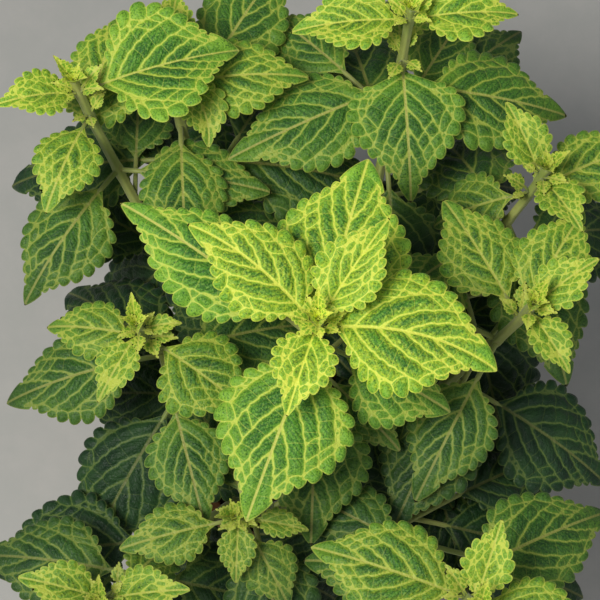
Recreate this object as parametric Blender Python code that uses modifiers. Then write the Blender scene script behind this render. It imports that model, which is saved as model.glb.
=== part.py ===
"""A potted coleus: a turned clay pot, its potting mix, and ten leafy stems that stand in the mix.

Each leafy stem is one grown piece: a square stem with opposite leaves, every pair at right angles
to the pair below it, and tiny leaves at the tip. A leaf that would run into another one, a stem or
the pot is bent clear of it. Sizes are in millimetres and become metres where a mesh is made.
Angles are in degrees. Azimuths run counter-clockwise from +X, seen from above."""

import math

import bmesh
import bpy
import numpy as np
from mathutils import Vector
from mathutils.bvhtree import BVHTree

MM = 0.001
GAP = 0.3

# Pot
POT_HEIGHT = 124.0
POT_TOP_RADIUS = 74.0
POT_FOOT_RADIUS = 51.0
RIM_HEIGHT = 21.0
RIM_STEP = 3.5
WALL = 5.5
FLOOR = 7.0
ROUND_SIDES = 36
DRAINS = 3
DRAIN_RADIUS = 5.0
DRAIN_CIRCLE = 27.0

# Potting mix
SOIL_EDGE = 107.0
SOIL_CROWN = 4.0
HOLE_RADIUS = 4.2
HOLE_DEPTH = 28.0

# Stems
STEM_FOOT_RADIUS = 3.4
STEM_TIP_RADIUS = 2.3
STEM_POINTS = 8

# Leaf blades: half-thickness over the petiole, the rib and halfway to the margin
PETIOLE_HALF = 1.25
ROOT_INSIDE = 0.2
RIB_HALF = 0.85
MID_HALF = 0.55
ARC_STEPS = 36
RIB_STATIONS = 8
SMALL_BLADE = 30.0
SMALL_STATIONS = 3
MID_AT = (0.2, 0.42, 0.64)
LOBED_FROM = 0.07
LOBED_TO = 0.84

# A lobe's points, as (share of its length, share of its height): a leaf of many lobes has rounder ones
ROUND_LOBE = ((0.0, -0.35), (0.30, 0.55), (0.78, 0.55))
PLAIN_LOBE = ((0.0, -0.35), (0.55, 0.65))
PLAIN_UP_TO = 6

# Half-width of a blade along its length, as shares: ovate, with a wedge base and a drawn-out tip
BLADE_ALONG = (0.0, 0.05, 0.13, 0.24, 0.36, 0.50, 0.64, 0.76, 0.85, 0.92, 0.97, 1.0)
BLADE_HALF = (0.03, 0.22, 0.60, 0.90, 1.00, 0.93, 0.73, 0.48, 0.28, 0.15, 0.07, 0.0)

# Room between the middles of two blades, and between a blade and a stem's axis
BLADE_ROOM = 2.8
LOBE_ROOM = 1.8
POT_ROOM = 3.0

# A leaf may touch its own stem this near its root, which is the first part of its test grid
ROOT_REACH = 9.0
GRID_ACROSS = (-1.0, -0.52, 0.0, 0.52, 1.0)
GRID_STALK = (-0.85, -0.5, -0.2, 0.0)
GRID_ROOT_FACES = 2 * len(GRID_STALK) * (len(GRID_ACROSS) - 1)

# A leaf of each age, from the growing tip down
AGES = (
    dict(length=15, width=8, petiole=3, pitch=62, droop=10, fold=40, curl=10, lobes=0),
    dict(length=38, width=25, petiole=5, pitch=40, droop=45, fold=24, curl=24, lobes=5),
    dict(length=58, width=40, petiole=10, pitch=24, droop=50, fold=10, curl=34, lobes=7),
    dict(length=70, width=48, petiole=15, pitch=10, droop=52, fold=6, curl=36, lobes=6),
    dict(length=78, width=56, petiole=24, pitch=0, droop=52, fold=4, curl=34, lobes=6),
    dict(length=76, width=58, petiole=26, pitch=-6, droop=44, fold=4, curl=30, lobes=6),
)

# Each stem: where it leaves the mix, its tip, the azimuth of its youngest pair, how far below the
# tip each pair stands, and what is particular to single leaves, by pair and side
STEMS = {
    "shoot_centre": dict(
        foot=(0, 0), tip=(0, 0, 298), turn=95, drops=(1, 7, 14, 23, 33, 62, 88, 112), leaves={
            (1, 0): dict(azimuth=54, length=52, width=33, petiole=6, pitch=32, droop=34),
            (1, 1): dict(azimuth=252, length=42, width=30, petiole=4, pitch=14, droop=40),
            (2, 0): dict(azimuth=134, length=70, width=46, petiole=8, pitch=24, droop=36, sweep=20,
                         lobes=9),
            (2, 1): dict(azimuth=-5, length=78, width=62, petiole=9, pitch=26, droop=52, sweep=-26,
                         lobes=10),
            (3, 0): dict(azimuth=74, length=78, width=68, petiole=10, pitch=17, droop=24, lobes=9),
            (3, 1): dict(azimuth=249, length=80, width=66, petiole=12, pitch=2, droop=26, lobes=10),
            (4, 0): dict(azimuth=144, length=94, width=52, petiole=23, pitch=18, droop=36, lobes=10),
            (4, 1): dict(azimuth=-24, length=56, width=50, petiole=16, pitch=-4, droop=30),
            (5, 0): dict(azimuth=268, length=66, width=56, petiole=22, pitch=-2, droop=30),
            (5, 1): dict(azimuth=41, length=72, width=54, petiole=22, pitch=6, droop=34),
            (6, 0): dict(azimuth=-44, petiole=28),
            (6, 1): dict(azimuth=140, petiole=28),
            (7, 0): dict(azimuth=214, petiole=34),
            (7, 1): dict(azimuth=46, petiole=34),
        }),
    "shoot_back": dict(
        foot=(16, 40), tip=(46, 166, 280), turn=100, drops=(1, 7, 30, 43, 74, 104), leaves={
            (1, 0): dict(azimuth=185, length=54, width=34, petiole=5, pitch=14, droop=40),
            (1, 1): dict(azimuth=5, length=50, width=34, petiole=5, pitch=14, droop=40),
            (2, 0): dict(azimuth=274, length=65, width=58, petiole=7, pitch=-2, droop=44, belly=0.78,
                         fold=4, curl=12, lobes=9),
            (2, 1): dict(azimuth=93, length=42, width=32, petiole=8, pitch=8, droop=70),
            (3, 0): dict(azimuth=203, length=78, width=54, petiole=14, pitch=2, droop=20, lobes=9),
            (3, 1): dict(azimuth=-5, length=74, width=56, petiole=16, pitch=0, droop=30),
        }),
    "shoot_back_left": dict(
        foot=(-44, 20), tip=(-118, 132, 270), turn=150, drops=(1, 8, 22, 54, 84, 112), leaves={
            (1, 0): dict(azimuth=17, length=70, width=66, petiole=12, pitch=14, droop=34, lobes=9),
            (1, 1): dict(azimuth=200, length=40, width=26),
            (2, 0): dict(azimuth=250, length=48, width=34),
            (2, 1): dict(azimuth=76, length=46, width=34),
            (3, 0): dict(azimuth=-8, length=66, width=46, petiole=12, pitch=10, droop=30),
            (4, 0): dict(azimuth=72),
        }),
    "shoot_left": dict(
        foot=(-44, 0), tip=(-85, 10, 262), turn=100, drops=(1, 8, 18, 40, 70, 98), leaves={
            (1, 0): dict(azimuth=240, length=34, width=20, petiole=6, pitch=8, droop=40),
            (1, 1): dict(azimuth=6, length=17, width=10, petiole=4, pitch=36, droop=60),
            (2, 0): dict(azimuth=-36, length=50, width=46, petiole=12, pitch=16, droop=50),
            (2, 1): dict(azimuth=170, length=44, width=30, petiole=8, pitch=10, droop=50),
            (4, 0): dict(azimuth=122),
            (4, 1): dict(azimuth=238),
            (5, 0): dict(azimuth=172, petiole=10),
        }),
    "shoot_front_left": dict(
        foot=(-28, -34), tip=(-100, -118, 242), turn=85, drops=(1, 8, 19, 40, 60, 80, 100), leaves={
            (2, 1): dict(azimuth=50, length=40, width=28, pitch=-16),
        }),
    "shoot_front": dict(
        foot=(-10, -44), tip=(-38, -78, 244), turn=20, drops=(1, 8, 16, 36, 64, 90), leaves={
            (1, 0): dict(azimuth=268, length=28, width=18, petiole=3, pitch=4, droop=46),
            (1, 1): dict(azimuth=-14, length=26, width=14, petiole=8, pitch=10, droop=40),
            (2, 0): dict(azimuth=194, length=46, width=30, petiole=14, pitch=8, droop=34),
            (2, 1): dict(azimuth=300, length=36, width=28, petiole=12, pitch=-4, droop=40),
        }),
    "shoot_front_right": dict(
        foot=(26, -36), tip=(72, -124, 262), turn=75, drops=(1, 8, 19, 40, 60, 80, 100, 112), leaves={
            (2, 0): dict(azimuth=161, length=68, width=50, petiole=8, pitch=12, droop=34),
            (1, 0): dict(azimuth=71),
            (1, 1): dict(azimuth=251),
            (2, 1): dict(azimuth=-19),
            (3, 0): dict(azimuth=26),
            (4, 0): dict(azimuth=115, pitch=-8),
            (6, 1): dict(azimuth=46, petiole=34),
        }),
    "shoot_right": dict(
        foot=(42, -6), tip=(102, 20, 264), turn=60, drops=(1, 8, 19, 40, 60, 80, 100), leaves={
            (2, 0): dict(azimuth=119, length=60, width=42, petiole=12, pitch=12, droop=30),
            (3, 0): dict(azimuth=242, length=66, width=44, petiole=23, pitch=2, droop=30),
            (1, 0): dict(azimuth=32),
            (1, 1): dict(azimuth=300, length=32, width=20),
        }),
    "shoot_back_right": dict(
        foot=(34, 24), tip=(112, 92, 256), turn=20, drops=(1, 8, 19, 40, 60, 80, 100), leaves={
            (2, 0): dict(azimuth=186, length=48, width=38, pitch=-14),
        }),
    "shoot_back_centre": dict(
        foot=(-36, 37), tip=(-76, 150, 262), turn=176, drops=(1, 8, 19, 40, 60, 80, 100), leaves={
            (1, 0): dict(azimuth=322, length=34, width=24, petiole=15, pitch=10, droop=46, sweep=-62),
            (3, 0): dict(azimuth=60, petiole=34, pitch=20, droop=40),
            (5, 0): dict(azimuth=62, petiole=38, pitch=4),
            (6, 1): dict(azimuth=205, petiole=30),
        }),
}
SEED = 11
AZIMUTH_SCATTER = 7.0
LENGTH_SCATTER = 0.08

# How a leaf may give way, in steps of pitch and azimuth and in shares of its size
PITCH_STEPS = (0, -4, 4, -8, 8, -12, 12, -17, -23, -30, -38, -47)
AZIMUTH_STEPS = (0, 5, -5, 10, -10, 16, -16)
SIZES = (1.0, 0.88, 0.76, 0.64)

COLLECTION = "coleus_in_pot"
CUTTERS = "cutters"


def clear_scene():
    for thing in list(bpy.data.objects):
        bpy.data.objects.remove(thing, do_unlink=True)


def collection(name, hidden=False):
    made = bpy.data.collections.new(name)
    bpy.context.scene.collection.children.link(made)
    made.hide_render = hidden
    return made


def material(name, colour, roughness):
    made = bpy.data.materials.new(name)
    made.use_nodes = True
    shader = made.node_tree.nodes["Principled BSDF"]
    shader.inputs["Base Color"].default_value = (*colour, 1.0)
    shader.inputs["Roughness"].default_value = roughness
    shader.inputs["Metallic"].default_value = 0.0
    return made


def mesh_object(name, points, faces, where):
    """An object of these points in millimetres, with its faces turned outwards."""
    mesh = bpy.data.meshes.new(name)
    mesh.from_pydata([tuple(MM * float(c) for c in point) for point in points], [], faces)
    made = bmesh.new()
    made.from_mesh(mesh)
    bmesh.ops.recalc_face_normals(made, faces=made.faces)
    made.to_mesh(mesh)
    made.free()
    thing = bpy.data.objects.new(name, mesh)
    where.objects.link(thing)
    return thing


def turned(name, profile, where):
    """A turned solid from (radius, height) points that run down the outside and back up the inside."""
    mesh = bpy.data.meshes.new(name)
    points = [(MM * radius, 0.0, MM * height) for radius, height in profile]
    mesh.from_pydata(points, [(i, i + 1) for i in range(len(points) - 1)], [])
    thing = bpy.data.objects.new(name, mesh)
    where.objects.link(thing)
    screw = thing.modifiers.new("turning", "SCREW")
    screw.steps = screw.render_steps = ROUND_SIDES
    screw.use_merge_vertices = True
    screw.merge_threshold = 0.00001
    screw.use_smooth_shade = True
    return thing


def plug_cutter(name, x, y, low, high, radius, sides, where):
    mesh = bpy.data.meshes.new(name)
    made = bmesh.new()
    bmesh.ops.create_cone(
        made, cap_ends=True, segments=sides, radius1=MM * radius, radius2=MM * radius,
        depth=MM * (high - low))
    made.to_mesh(mesh)
    made.free()
    thing = bpy.data.objects.new(name, mesh)
    thing.location = (MM * x, MM * y, MM * (low + high) / 2)
    thing.display_type = "WIRE"
    thing.hide_render = True
    where.objects.link(thing)
    return thing


def cut_with(thing, cutter):
    cut = thing.modifiers.new(cutter.name, "BOOLEAN")
    cut.operation = "DIFFERENCE"
    cut.solver = "EXACT"
    cut.object = cutter


def pot_inner_radius(height):
    """The radius inside the pot's wall at a height."""
    share = height / POT_HEIGHT
    outer = POT_FOOT_RADIUS + (POT_TOP_RADIUS - RIM_STEP - POT_FOOT_RADIUS) * share
    return outer - WALL


def make_pot(parts, cutters):
    rim_foot = POT_HEIGHT - RIM_HEIGHT
    wall_top = pot_inner_radius(rim_foot) + WALL
    profile = (
        (0.0, FLOOR),
        (pot_inner_radius(FLOOR) - 2.0, FLOOR),
        (pot_inner_radius(FLOOR + 3.0), FLOOR + 3.0),
        (pot_inner_radius(POT_HEIGHT), POT_HEIGHT - 1.0),
        (pot_inner_radius(POT_HEIGHT) + 1.5, POT_HEIGHT),
        (POT_TOP_RADIUS - 2.0, POT_HEIGHT),
        (POT_TOP_RADIUS, POT_HEIGHT - 2.0),
        (POT_TOP_RADIUS - 1.2, rim_foot + 1.5),
        (POT_TOP_RADIUS - 2.4, rim_foot),
        (wall_top, rim_foot - 1.0),
        (POT_FOOT_RADIUS + 0.6, 2.0),
        (POT_FOOT_RADIUS - 1.4, 0.0),
        (0.0, 0.0),
    )
    pot = turned("pot", profile, parts)
    for i in range(DRAINS):
        turn = 2 * math.pi * i / DRAINS
        cut_with(pot, plug_cutter(
            f"drain_cutter_{i + 1}", DRAIN_CIRCLE * math.cos(turn), DRAIN_CIRCLE * math.sin(turn),
            -FLOOR, 2 * FLOOR, DRAIN_RADIUS, 12, cutters))
    pot.data.materials.append(material("clay", (0.55, 0.26, 0.15), 0.85))


def soil_height(radius):
    """The top of the mix: a low mound that falls to the wall."""
    edge = pot_inner_radius(SOIL_EDGE) - GAP
    return SOIL_EDGE + SOIL_CROWN * math.cos(math.pi / 2 * min(1.0, radius / edge))


def make_soil(parts, cutters):
    low = FLOOR + GAP
    edge = pot_inner_radius(SOIL_EDGE) - GAP
    rings = [(edge * share, soil_height(edge * share)) for share in (0.0, 0.35, 0.7, 0.9, 1.0)]
    profile = rings + [
        (pot_inner_radius(low + 4.0) - GAP, low + 4.0),
        (pot_inner_radius(low) - 4.0, low),
        (0.0, low),
    ]
    soil = turned("soil", profile, parts)
    for name, stem in STEMS.items():
        x, y = stem["foot"]
        cut_with(soil, plug_cutter(
            name.replace("shoot", "hole"), x, y, SOIL_EDGE - HOLE_DEPTH, POT_HEIGHT + 10,
            HOLE_RADIUS, 8, cutters))
    soil.data.materials.append(material("potting_mix", (0.06, 0.04, 0.03), 0.95))


def stem_line(stem):
    """Points of a stem's axis, from the bottom of its hole to its tip."""
    x, y = stem["foot"]
    low = np.array((x, y, SOIL_EDGE - HOLE_DEPTH + GAP))
    out = np.array((x, y, SOIL_EDGE + SOIL_CROWN + 3.0))
    tip = np.array(stem["tip"], float)
    rise = tip[2] - out[2]
    first = out + (0, 0, 0.45 * rise)
    second = tip - (0.18 * (tip[0] - x), 0.18 * (tip[1] - y), 0.35 * rise)
    points = [low]
    for share in np.linspace(0, 1, STEM_POINTS):
        rest = 1 - share
        points.append(out * rest ** 3 + 3 * first * share * rest ** 2
                      + 3 * second * share ** 2 * rest + tip * share ** 3)
    return np.array(points)


def along(line, drop):
    """The point this far below the end of a line, and the share of the line below it."""
    steps = np.linalg.norm(np.diff(line, axis=0), axis=1)
    reach = np.concatenate(([0], np.cumsum(steps)))
    here = reach[-1] - drop
    point = np.array([np.interp(here, reach, line[:, k]) for k in range(3)])
    return point, here / reach[-1]


def rib_frame(leaf):
    """Places, directions and up-directions along a leaf, from the stem's axis to the blade's tip."""
    total = leaf["petiole"] + leaf["length"]
    share = np.linspace(0, 1, ARC_STEPS + 1)
    pitch = np.radians(leaf["pitch"] - leaf["droop"] * share ** 1.3)
    heading = np.radians(leaf["azimuth"] + leaf.get("sweep", 0) * share ** 1.5)
    ahead = np.stack((np.cos(pitch) * np.cos(heading), np.cos(pitch) * np.sin(heading),
                      np.sin(pitch)), axis=1)
    steps = (ahead[1:] + ahead[:-1]) / 2 * total / ARC_STEPS
    place = leaf["root"] + np.concatenate((np.zeros((1, 3)), np.cumsum(steps, axis=0)))
    left = np.stack((-np.sin(heading), np.cos(heading), 0 * heading), axis=1)
    up = np.cross(ahead, left)
    return share * total, place, left, up


def spread(leaf, x, y):
    """Points of the blade's middle surface and its normals, from flat x along the rib and y across."""
    arc, place, left, up = rib_frame(leaf)
    here = leaf["petiole"] + x
    at = [np.stack([np.interp(here, arc, part[:, k]) for k in range(3)], axis=1)
          for part in (place, left, up)]
    half = leaf["width"] / 2
    fold = math.radians(leaf["fold"])
    curl = math.radians(leaf["curl"]) / half
    out = np.abs(y)
    turn = fold - curl * out
    across = (np.sin(fold) - np.sin(turn)) / curl
    lift = (np.cos(turn) - np.cos(fold)) / curl
    phase = leaf["phase"] + 1.6 * (y > 0)
    lift = lift + leaf["wave"] * (out / half) ** 2 * np.sin(2 * np.pi * here / 34.0 + phase)
    side = np.sign(y)
    point = at[0] + at[1] * (side * across)[:, None] + at[2] * lift[:, None]
    normal = at[2] * np.cos(turn)[:, None] - at[1] * (side * np.sin(turn))[:, None]
    return point, normal


def blade_half(leaf, x):
    """Half the blade's width at x, without lobes; a belly under 1 moves the widest part back."""
    share = (x / leaf["length"]) ** leaf.get("belly", 1.0)
    return leaf["width"] / 2 * np.interp(share, BLADE_ALONG, BLADE_HALF)


def margin(leaf):
    """One side's outline: the petiole, then round lobes with a notch between, then the plain tip."""
    length = leaf["length"]
    points = [(-leaf["petiole"] + ROOT_INSIDE, PETIOLE_HALF), (-1.0, PETIOLE_HALF)]
    lobes = leaf["lobes"]
    if not lobes:
        return points + [(share * length, blade_half(leaf, share * length))
                         for share in (0.15, 0.45, 0.75)] + [(length, 0.0)]
    pitch = (LOBED_TO - LOBED_FROM) / lobes
    height = 0.30 * pitch * length
    for i in range(lobes):
        start = LOBED_FROM + i * pitch
        for share, lift in ROUND_LOBE if lobes > PLAIN_UP_TO else PLAIN_LOBE:
            x = (start + share * pitch) * length
            points.append((x, blade_half(leaf, x) + lift * height))
    points.append((LOBED_TO * length, blade_half(leaf, LOBED_TO * length) - 0.3 * height))
    points.append((0.93 * length, blade_half(leaf, 0.93 * length) + 0.3))
    points.append((length, 0.0))
    return points


def strip(faces, inner, outer):
    """Triangles between two chains of (x, index), which may share their ends."""
    i = j = 0
    while i < len(inner) - 1 or j < len(outer) - 1:
        next_inner = inner[i + 1][0] if i < len(inner) - 1 else math.inf
        next_outer = outer[j + 1][0] if j < len(outer) - 1 else math.inf
        if next_inner <= next_outer:
            third = inner[i + 1][1]
        else:
            third = outer[j + 1][1]
        corners = (inner[i][1], outer[j][1], third)
        if len(set(corners)) == 3:
            faces.append(corners)
        if next_inner <= next_outer:
            i += 1
        else:
            j += 1


def leaf_rows(leaf):
    """The x of the rib's points, and of the points halfway to the margin."""
    length = leaf["length"]
    blade = RIB_STATIONS - 2 if length > SMALL_BLADE else SMALL_STATIONS
    rib = [-leaf["petiole"] + ROOT_INSIDE, -1.0]
    rib += [length * (0.06 + 0.94 * i / (blade - 1)) for i in range(blade)]
    middle = [length * share for share in MID_AT] if length > SMALL_BLADE else []
    return rib, middle


def leaf_object(leaf, where):
    """A closed leaf: petiole and blade in one, thickest at the rib and thin at the lobed margin."""
    rib, middle = leaf_rows(leaf)
    flat = [(x, 0.0) for x in rib[:-1]]
    half = [max(PETIOLE_HALF, RIB_HALF) if x < 0 else RIB_HALF - 0.3 * x / leaf["length"]
            for x in rib[:-1]]
    scale = min(1.0, 0.55 + leaf["length"] / 80)
    chains = {}
    for side in (1, -1):
        chains["middle", side] = range(len(flat), len(flat) + len(middle))
        flat += [(x, side * 0.52 * blade_half(leaf, x)) for x in middle]
        half += [MID_HALF] * len(middle)
    for side in (1, -1):
        edge = margin(leaf)[:-1]
        chains["margin", side] = range(len(flat), len(flat) + len(edge))
        flat += [(x, side * y) for x, y in edge]
        half += [0.0] * len(edge)
    flat.append((leaf["length"], 0.0))
    half.append(0.0)
    tip = len(flat) - 1
    flat = np.array(flat)
    point, normal = spread(leaf, flat[:, 0], flat[:, 1])
    half = np.array(half)[:, None] * scale
    points = np.concatenate((point + normal * half, point - normal * half))
    under = {i: i + len(flat) if half[i, 0] > 0 else i for i in range(len(flat))}

    upper = []
    ribs = [(x, i) for i, x in enumerate(rib[:-1])] + [(leaf["length"], tip)]
    for side in (1, -1):
        between = [(flat[i, 0], i) for i in chains["middle", side]]
        edge = [(flat[i, 0], i) for i in chains["margin", side]] + [(leaf["length"], tip)]
        if between:
            low = max(k for k, (x, _) in enumerate(ribs) if x < between[0][0])
            high = min(k for k, (x, _) in enumerate(ribs) if x > between[-1][0])
            inner = ribs[:low + 1] + between + ribs[high:]
            strip(upper, ribs[low:high + 1], [ribs[low]] + between + [ribs[high]])
        else:
            inner = ribs
        strip(upper, inner, edge)
    faces = upper + [tuple(under[i] for i in reversed(face)) for face in upper]
    left, right = chains["margin", 1][0], chains["margin", -1][0]
    faces += [(0, left, under[0]), (0, under[0], right)]
    used = sorted({i for face in faces for i in face})
    renumber = {old: new for new, old in enumerate(used)}
    return mesh_object("leaf", points[used],
                       [tuple(renumber[i] for i in face) for face in faces], where)


def proxy(leaf):
    """The leaf's middle surface as a coarse grid, to test for room."""
    xs = np.concatenate((leaf["petiole"] * np.array(GRID_STALK),
                         leaf["length"] * np.linspace(0.1, 1, 8)))
    grid_x, grid_y = [], []
    for x in xs:
        reach = blade_half(leaf, x) + LOBE_ROOM if 0 < x < leaf["length"] else PETIOLE_HALF
        for share in GRID_ACROSS:
            grid_x.append(x)
            grid_y.append(share * reach + 1e-6)
    points, _ = spread(leaf, np.array(grid_x), np.array(grid_y))
    faces = []
    wide = len(GRID_ACROSS)
    for row in range(len(xs) - 1):
        for column in range(wide - 1):
            a = row * wide + column
            b = a + wide
            faces += [(a, a + 1, b + 1), (a, b + 1, b)]
    return points, faces


class Room:
    """What is already in place, for testing whether a leaf is clear of it."""

    def __init__(self):
        self.points, self.faces, self.owners = [], [], []
        self.tree = None

    def add(self, points, faces, owner):
        start = len(self.points)
        self.points += [tuple(p) for p in points]
        self.faces += [tuple(start + i for i in face) for face in faces]
        self.owners += [owner] * len(faces)
        self.tree = BVHTree.FromPolygons(self.points, self.faces)
        self.array = np.array(self.points)

    def clear(self, points, faces, owner, root):
        radius = np.hypot(points[:, 0], points[:, 1])
        if ((radius < POT_TOP_RADIUS + POT_ROOM) & (points[:, 2] < POT_HEIGHT + POT_ROOM)).any():
            return False
        mine = BVHTree.FromPolygons([tuple(p) for p in points], faces)
        for own, other in mine.overlap(self.tree):
            if self.owners[other] != owner or own >= GRID_ROOT_FACES:
                return False
        away = np.linalg.norm(points - root, axis=1) > ROOT_REACH
        for point in points[away]:
            if self.tree.find_nearest(Vector(point), BLADE_ROOM)[0] is not None:
                return False
        low, high = points.min(axis=0) - BLADE_ROOM, points.max(axis=0) + BLADE_ROOM
        near = ((self.array > low) & (self.array < high)).all(axis=1)
        near &= np.linalg.norm(self.array - root, axis=1) > ROOT_REACH
        for point in self.array[near]:
            if mine.find_nearest(Vector(point), BLADE_ROOM)[0] is not None:
                return False
        return True


def tube(line, low, high):
    """A four-sided tube round a stem's axis, to test for room."""
    points, faces = [], []
    for k, centre in enumerate(line):
        radius = low + (high - low) * k / (len(line) - 1)
        points += [centre + radius * np.array(way) for way in
                   ((1, 0, 0), (0, 1, 0), (-1, 0, 0), (0, -1, 0))]
    for k in range(len(line) - 1):
        for side in range(4):
            a, b = 4 * k + side, 4 * k + (side + 1) % 4
            faces += [(a, b, b + 4), (a, b + 4, a + 4)]
    return points, faces


def wanted_leaves():
    """Every leaf as it would grow with nothing in its way, in the order in which it takes its room."""
    draw = np.random.default_rng(SEED)
    found = []
    for name, stem in STEMS.items():
        line = stem_line(stem)
        for pair, drop in enumerate(stem["drops"]):
            age = AGES[min(pair, len(AGES) - 1)]
            for side in (0, 1):
                scatter = draw.uniform(-1, 1, 4)
                size = 1 + LENGTH_SCATTER * scatter[1]
                leaf = dict(age, stem=name, pair=pair, side=side)
                leaf["azimuth"] = (stem["turn"] + 90 * pair + 180 * side
                                   + AZIMUTH_SCATTER * scatter[0])
                leaf["length"] = age["length"] * size
                leaf["width"] = age["width"] * size
                leaf["phase"] = math.pi * scatter[2]
                leaf["wave"] = 0.0 if pair < 2 else 0.5 + 0.5 * abs(scatter[3])
                chosen = stem["leaves"].get((pair, side))
                leaf.update(chosen or {})
                node, _ = along(line, drop)
                way = math.radians(leaf["azimuth"])
                leaf["root"] = node + 0.5 * np.array((math.cos(way), math.sin(way), 0))
                rank = 0 if name == "shoot_centre" else 1 if chosen or pair < 1 else 2
                found.append(((rank, pair if rank != 1 else 0, len(found)), leaf))
    return [leaf for _, leaf in sorted(found, key=lambda entry: entry[0])]


def ways_to_give():
    """Changes of pitch, azimuth and size, the smallest first."""
    found = []
    for i, pitch in enumerate(PITCH_STEPS):
        for j, azimuth in enumerate(AZIMUTH_STEPS):
            for k, size in enumerate(SIZES):
                found.append((i + 1.5 * j + 4 * k, pitch, azimuth, size))
    return [way[1:] for way in sorted(found)]


def settled_leaves():
    """The leaves bent clear of each other, of the stems and of the pot; one with no room is left out."""
    room = Room()
    for name, stem in STEMS.items():
        room.add(*tube(stem_line(stem), STEM_FOOT_RADIUS, STEM_TIP_RADIUS), name)
    ways = ways_to_give()
    settled = []
    for leaf in wanted_leaves():
        for pitch, azimuth, size in ways:
            turned_leaf = dict(leaf, pitch=leaf["pitch"] + pitch, azimuth=leaf["azimuth"] + azimuth,
                               length=leaf["length"] * size, width=leaf["width"] * size)
            points, faces = proxy(turned_leaf)
            if room.clear(points, faces, leaf["stem"], leaf["root"]):
                room.add(points, faces, leaf["stem"])
                settled.append(turned_leaf)
                break
    return settled


def stem_object(stem, where):
    """A square stem that tapers to its tip."""
    line = stem_line(stem)
    data = bpy.data.curves.new("stem", "CURVE")
    data.dimensions = "3D"
    data.bevel_depth = MM * STEM_FOOT_RADIUS
    data.bevel_resolution = 0
    data.use_fill_caps = True
    spline = data.splines.new("POLY")
    spline.points.add(len(line) - 1)
    for k, point in enumerate(line):
        spline.points[k].co = (*(MM * c for c in point), 1.0)
        share = k / (len(line) - 1)
        spline.points[k].radius = 1 + (STEM_TIP_RADIUS / STEM_FOOT_RADIUS - 1) * share
    curve = bpy.data.objects.new("stem", data)
    where.objects.link(curve)
    bpy.context.view_layer.update()
    graph = bpy.context.evaluated_depsgraph_get()
    mesh = bpy.data.meshes.new_from_object(curve.evaluated_get(graph))
    welded = bmesh.new()
    welded.from_mesh(mesh)
    bmesh.ops.remove_doubles(welded, verts=welded.verts, dist=0.00001)
    bmesh.ops.recalc_face_normals(welded, faces=welded.faces)
    welded.to_mesh(mesh)
    welded.free()
    thing = bpy.data.objects.new("stem", mesh)
    thing.matrix_world = curve.matrix_world
    where.objects.link(thing)
    bpy.data.objects.remove(curve, do_unlink=True)
    return thing


def make_shoot(name, stem, leaves, parts, green):
    """One leafy stem: the stem joined with its leaves into one solid."""
    pieces = collection(f"{name}_leaves")
    for leaf in leaves:
        leaf_object(leaf, pieces)
    shoot = stem_object(stem, parts)
    shoot.name = shoot.data.name = name
    join = shoot.modifiers.new("leaves", "BOOLEAN")
    join.operation = "UNION"
    join.solver = "MANIFOLD"
    join.operand_type = "COLLECTION"
    join.collection = pieces
    bpy.context.view_layer.update()
    graph = bpy.context.evaluated_depsgraph_get()
    joined = bpy.data.meshes.new_from_object(shoot.evaluated_get(graph))
    shoot.modifiers.clear()
    shoot.data = joined
    for piece in list(pieces.objects):
        bpy.data.objects.remove(piece, do_unlink=True)
    bpy.data.collections.remove(pieces)
    joined.materials.clear()
    joined.materials.append(green)


def main():
    clear_scene()
    parts = collection(COLLECTION)
    cutters = collection(CUTTERS, hidden=True)
    make_pot(parts, cutters)
    make_soil(parts, cutters)
    green = material("leaf_green", (0.22, 0.40, 0.06), 0.6)
    leaves = settled_leaves()
    for name, stem in STEMS.items():
        make_shoot(name, stem, [leaf for leaf in leaves if leaf["stem"] == name], parts, green)


main()
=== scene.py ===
"""The looks of a potted coleus: its clay pot, the potting mix, ten leafy stems, and the studio.

Sizes are in millimetres and become metres where a mesh is made. Angles are in degrees, and
azimuths run counter-clockwise from +X, seen from above."""

import math

import bmesh
import bpy
import numpy as np
from mathutils import Matrix, Vector, noise
from mathutils.bvhtree import BVHTree
from mathutils.geometry import delaunay_2d_cdt
from mathutils.kdtree import KDTree


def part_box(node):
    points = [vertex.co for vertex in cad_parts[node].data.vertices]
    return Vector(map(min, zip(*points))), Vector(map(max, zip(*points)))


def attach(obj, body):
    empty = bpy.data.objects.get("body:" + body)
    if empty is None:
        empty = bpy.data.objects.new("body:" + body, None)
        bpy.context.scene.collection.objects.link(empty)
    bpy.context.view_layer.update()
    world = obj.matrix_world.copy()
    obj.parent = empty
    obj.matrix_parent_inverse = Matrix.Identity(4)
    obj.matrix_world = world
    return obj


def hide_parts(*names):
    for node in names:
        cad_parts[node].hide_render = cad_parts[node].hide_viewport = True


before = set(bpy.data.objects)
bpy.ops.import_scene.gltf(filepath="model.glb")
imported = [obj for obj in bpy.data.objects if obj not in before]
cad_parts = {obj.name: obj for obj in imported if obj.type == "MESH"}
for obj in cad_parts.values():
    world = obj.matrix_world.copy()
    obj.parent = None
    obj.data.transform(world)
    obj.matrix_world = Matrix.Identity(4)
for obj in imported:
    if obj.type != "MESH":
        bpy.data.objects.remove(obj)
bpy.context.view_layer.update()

MM = 0.001

# The clay pot
# Turned on a wheel from coarse red clay, fired without a glaze, with a thick rim band and three
# drain holes. Water that seeps through the wall leaves a pale bloom of salts on it.

RIM_HEIGHT, RIM_STEP = 21.0, 3.5
POT_FOOT_RADIUS, POT_TOP_RADIUS = 51.0, 74.0
POT_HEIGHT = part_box("pot")[1].z / MM
WALL, FLOOR = 5.5, 7.0
DRAINS, DRAIN_RADIUS, DRAIN_CIRCLE, DRAIN_SIDES = 3, 5.0, 27.0, 32
DRILL_LOW, DRILL_HIGH = -4.0, 14.0
POT_SIDES, POT_EDGE_RADIUS, POT_STEP = 120, 1.6, 2.6
TURNING_PITCH, TURNING_DEPTH = 3.4, 0.10


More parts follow.
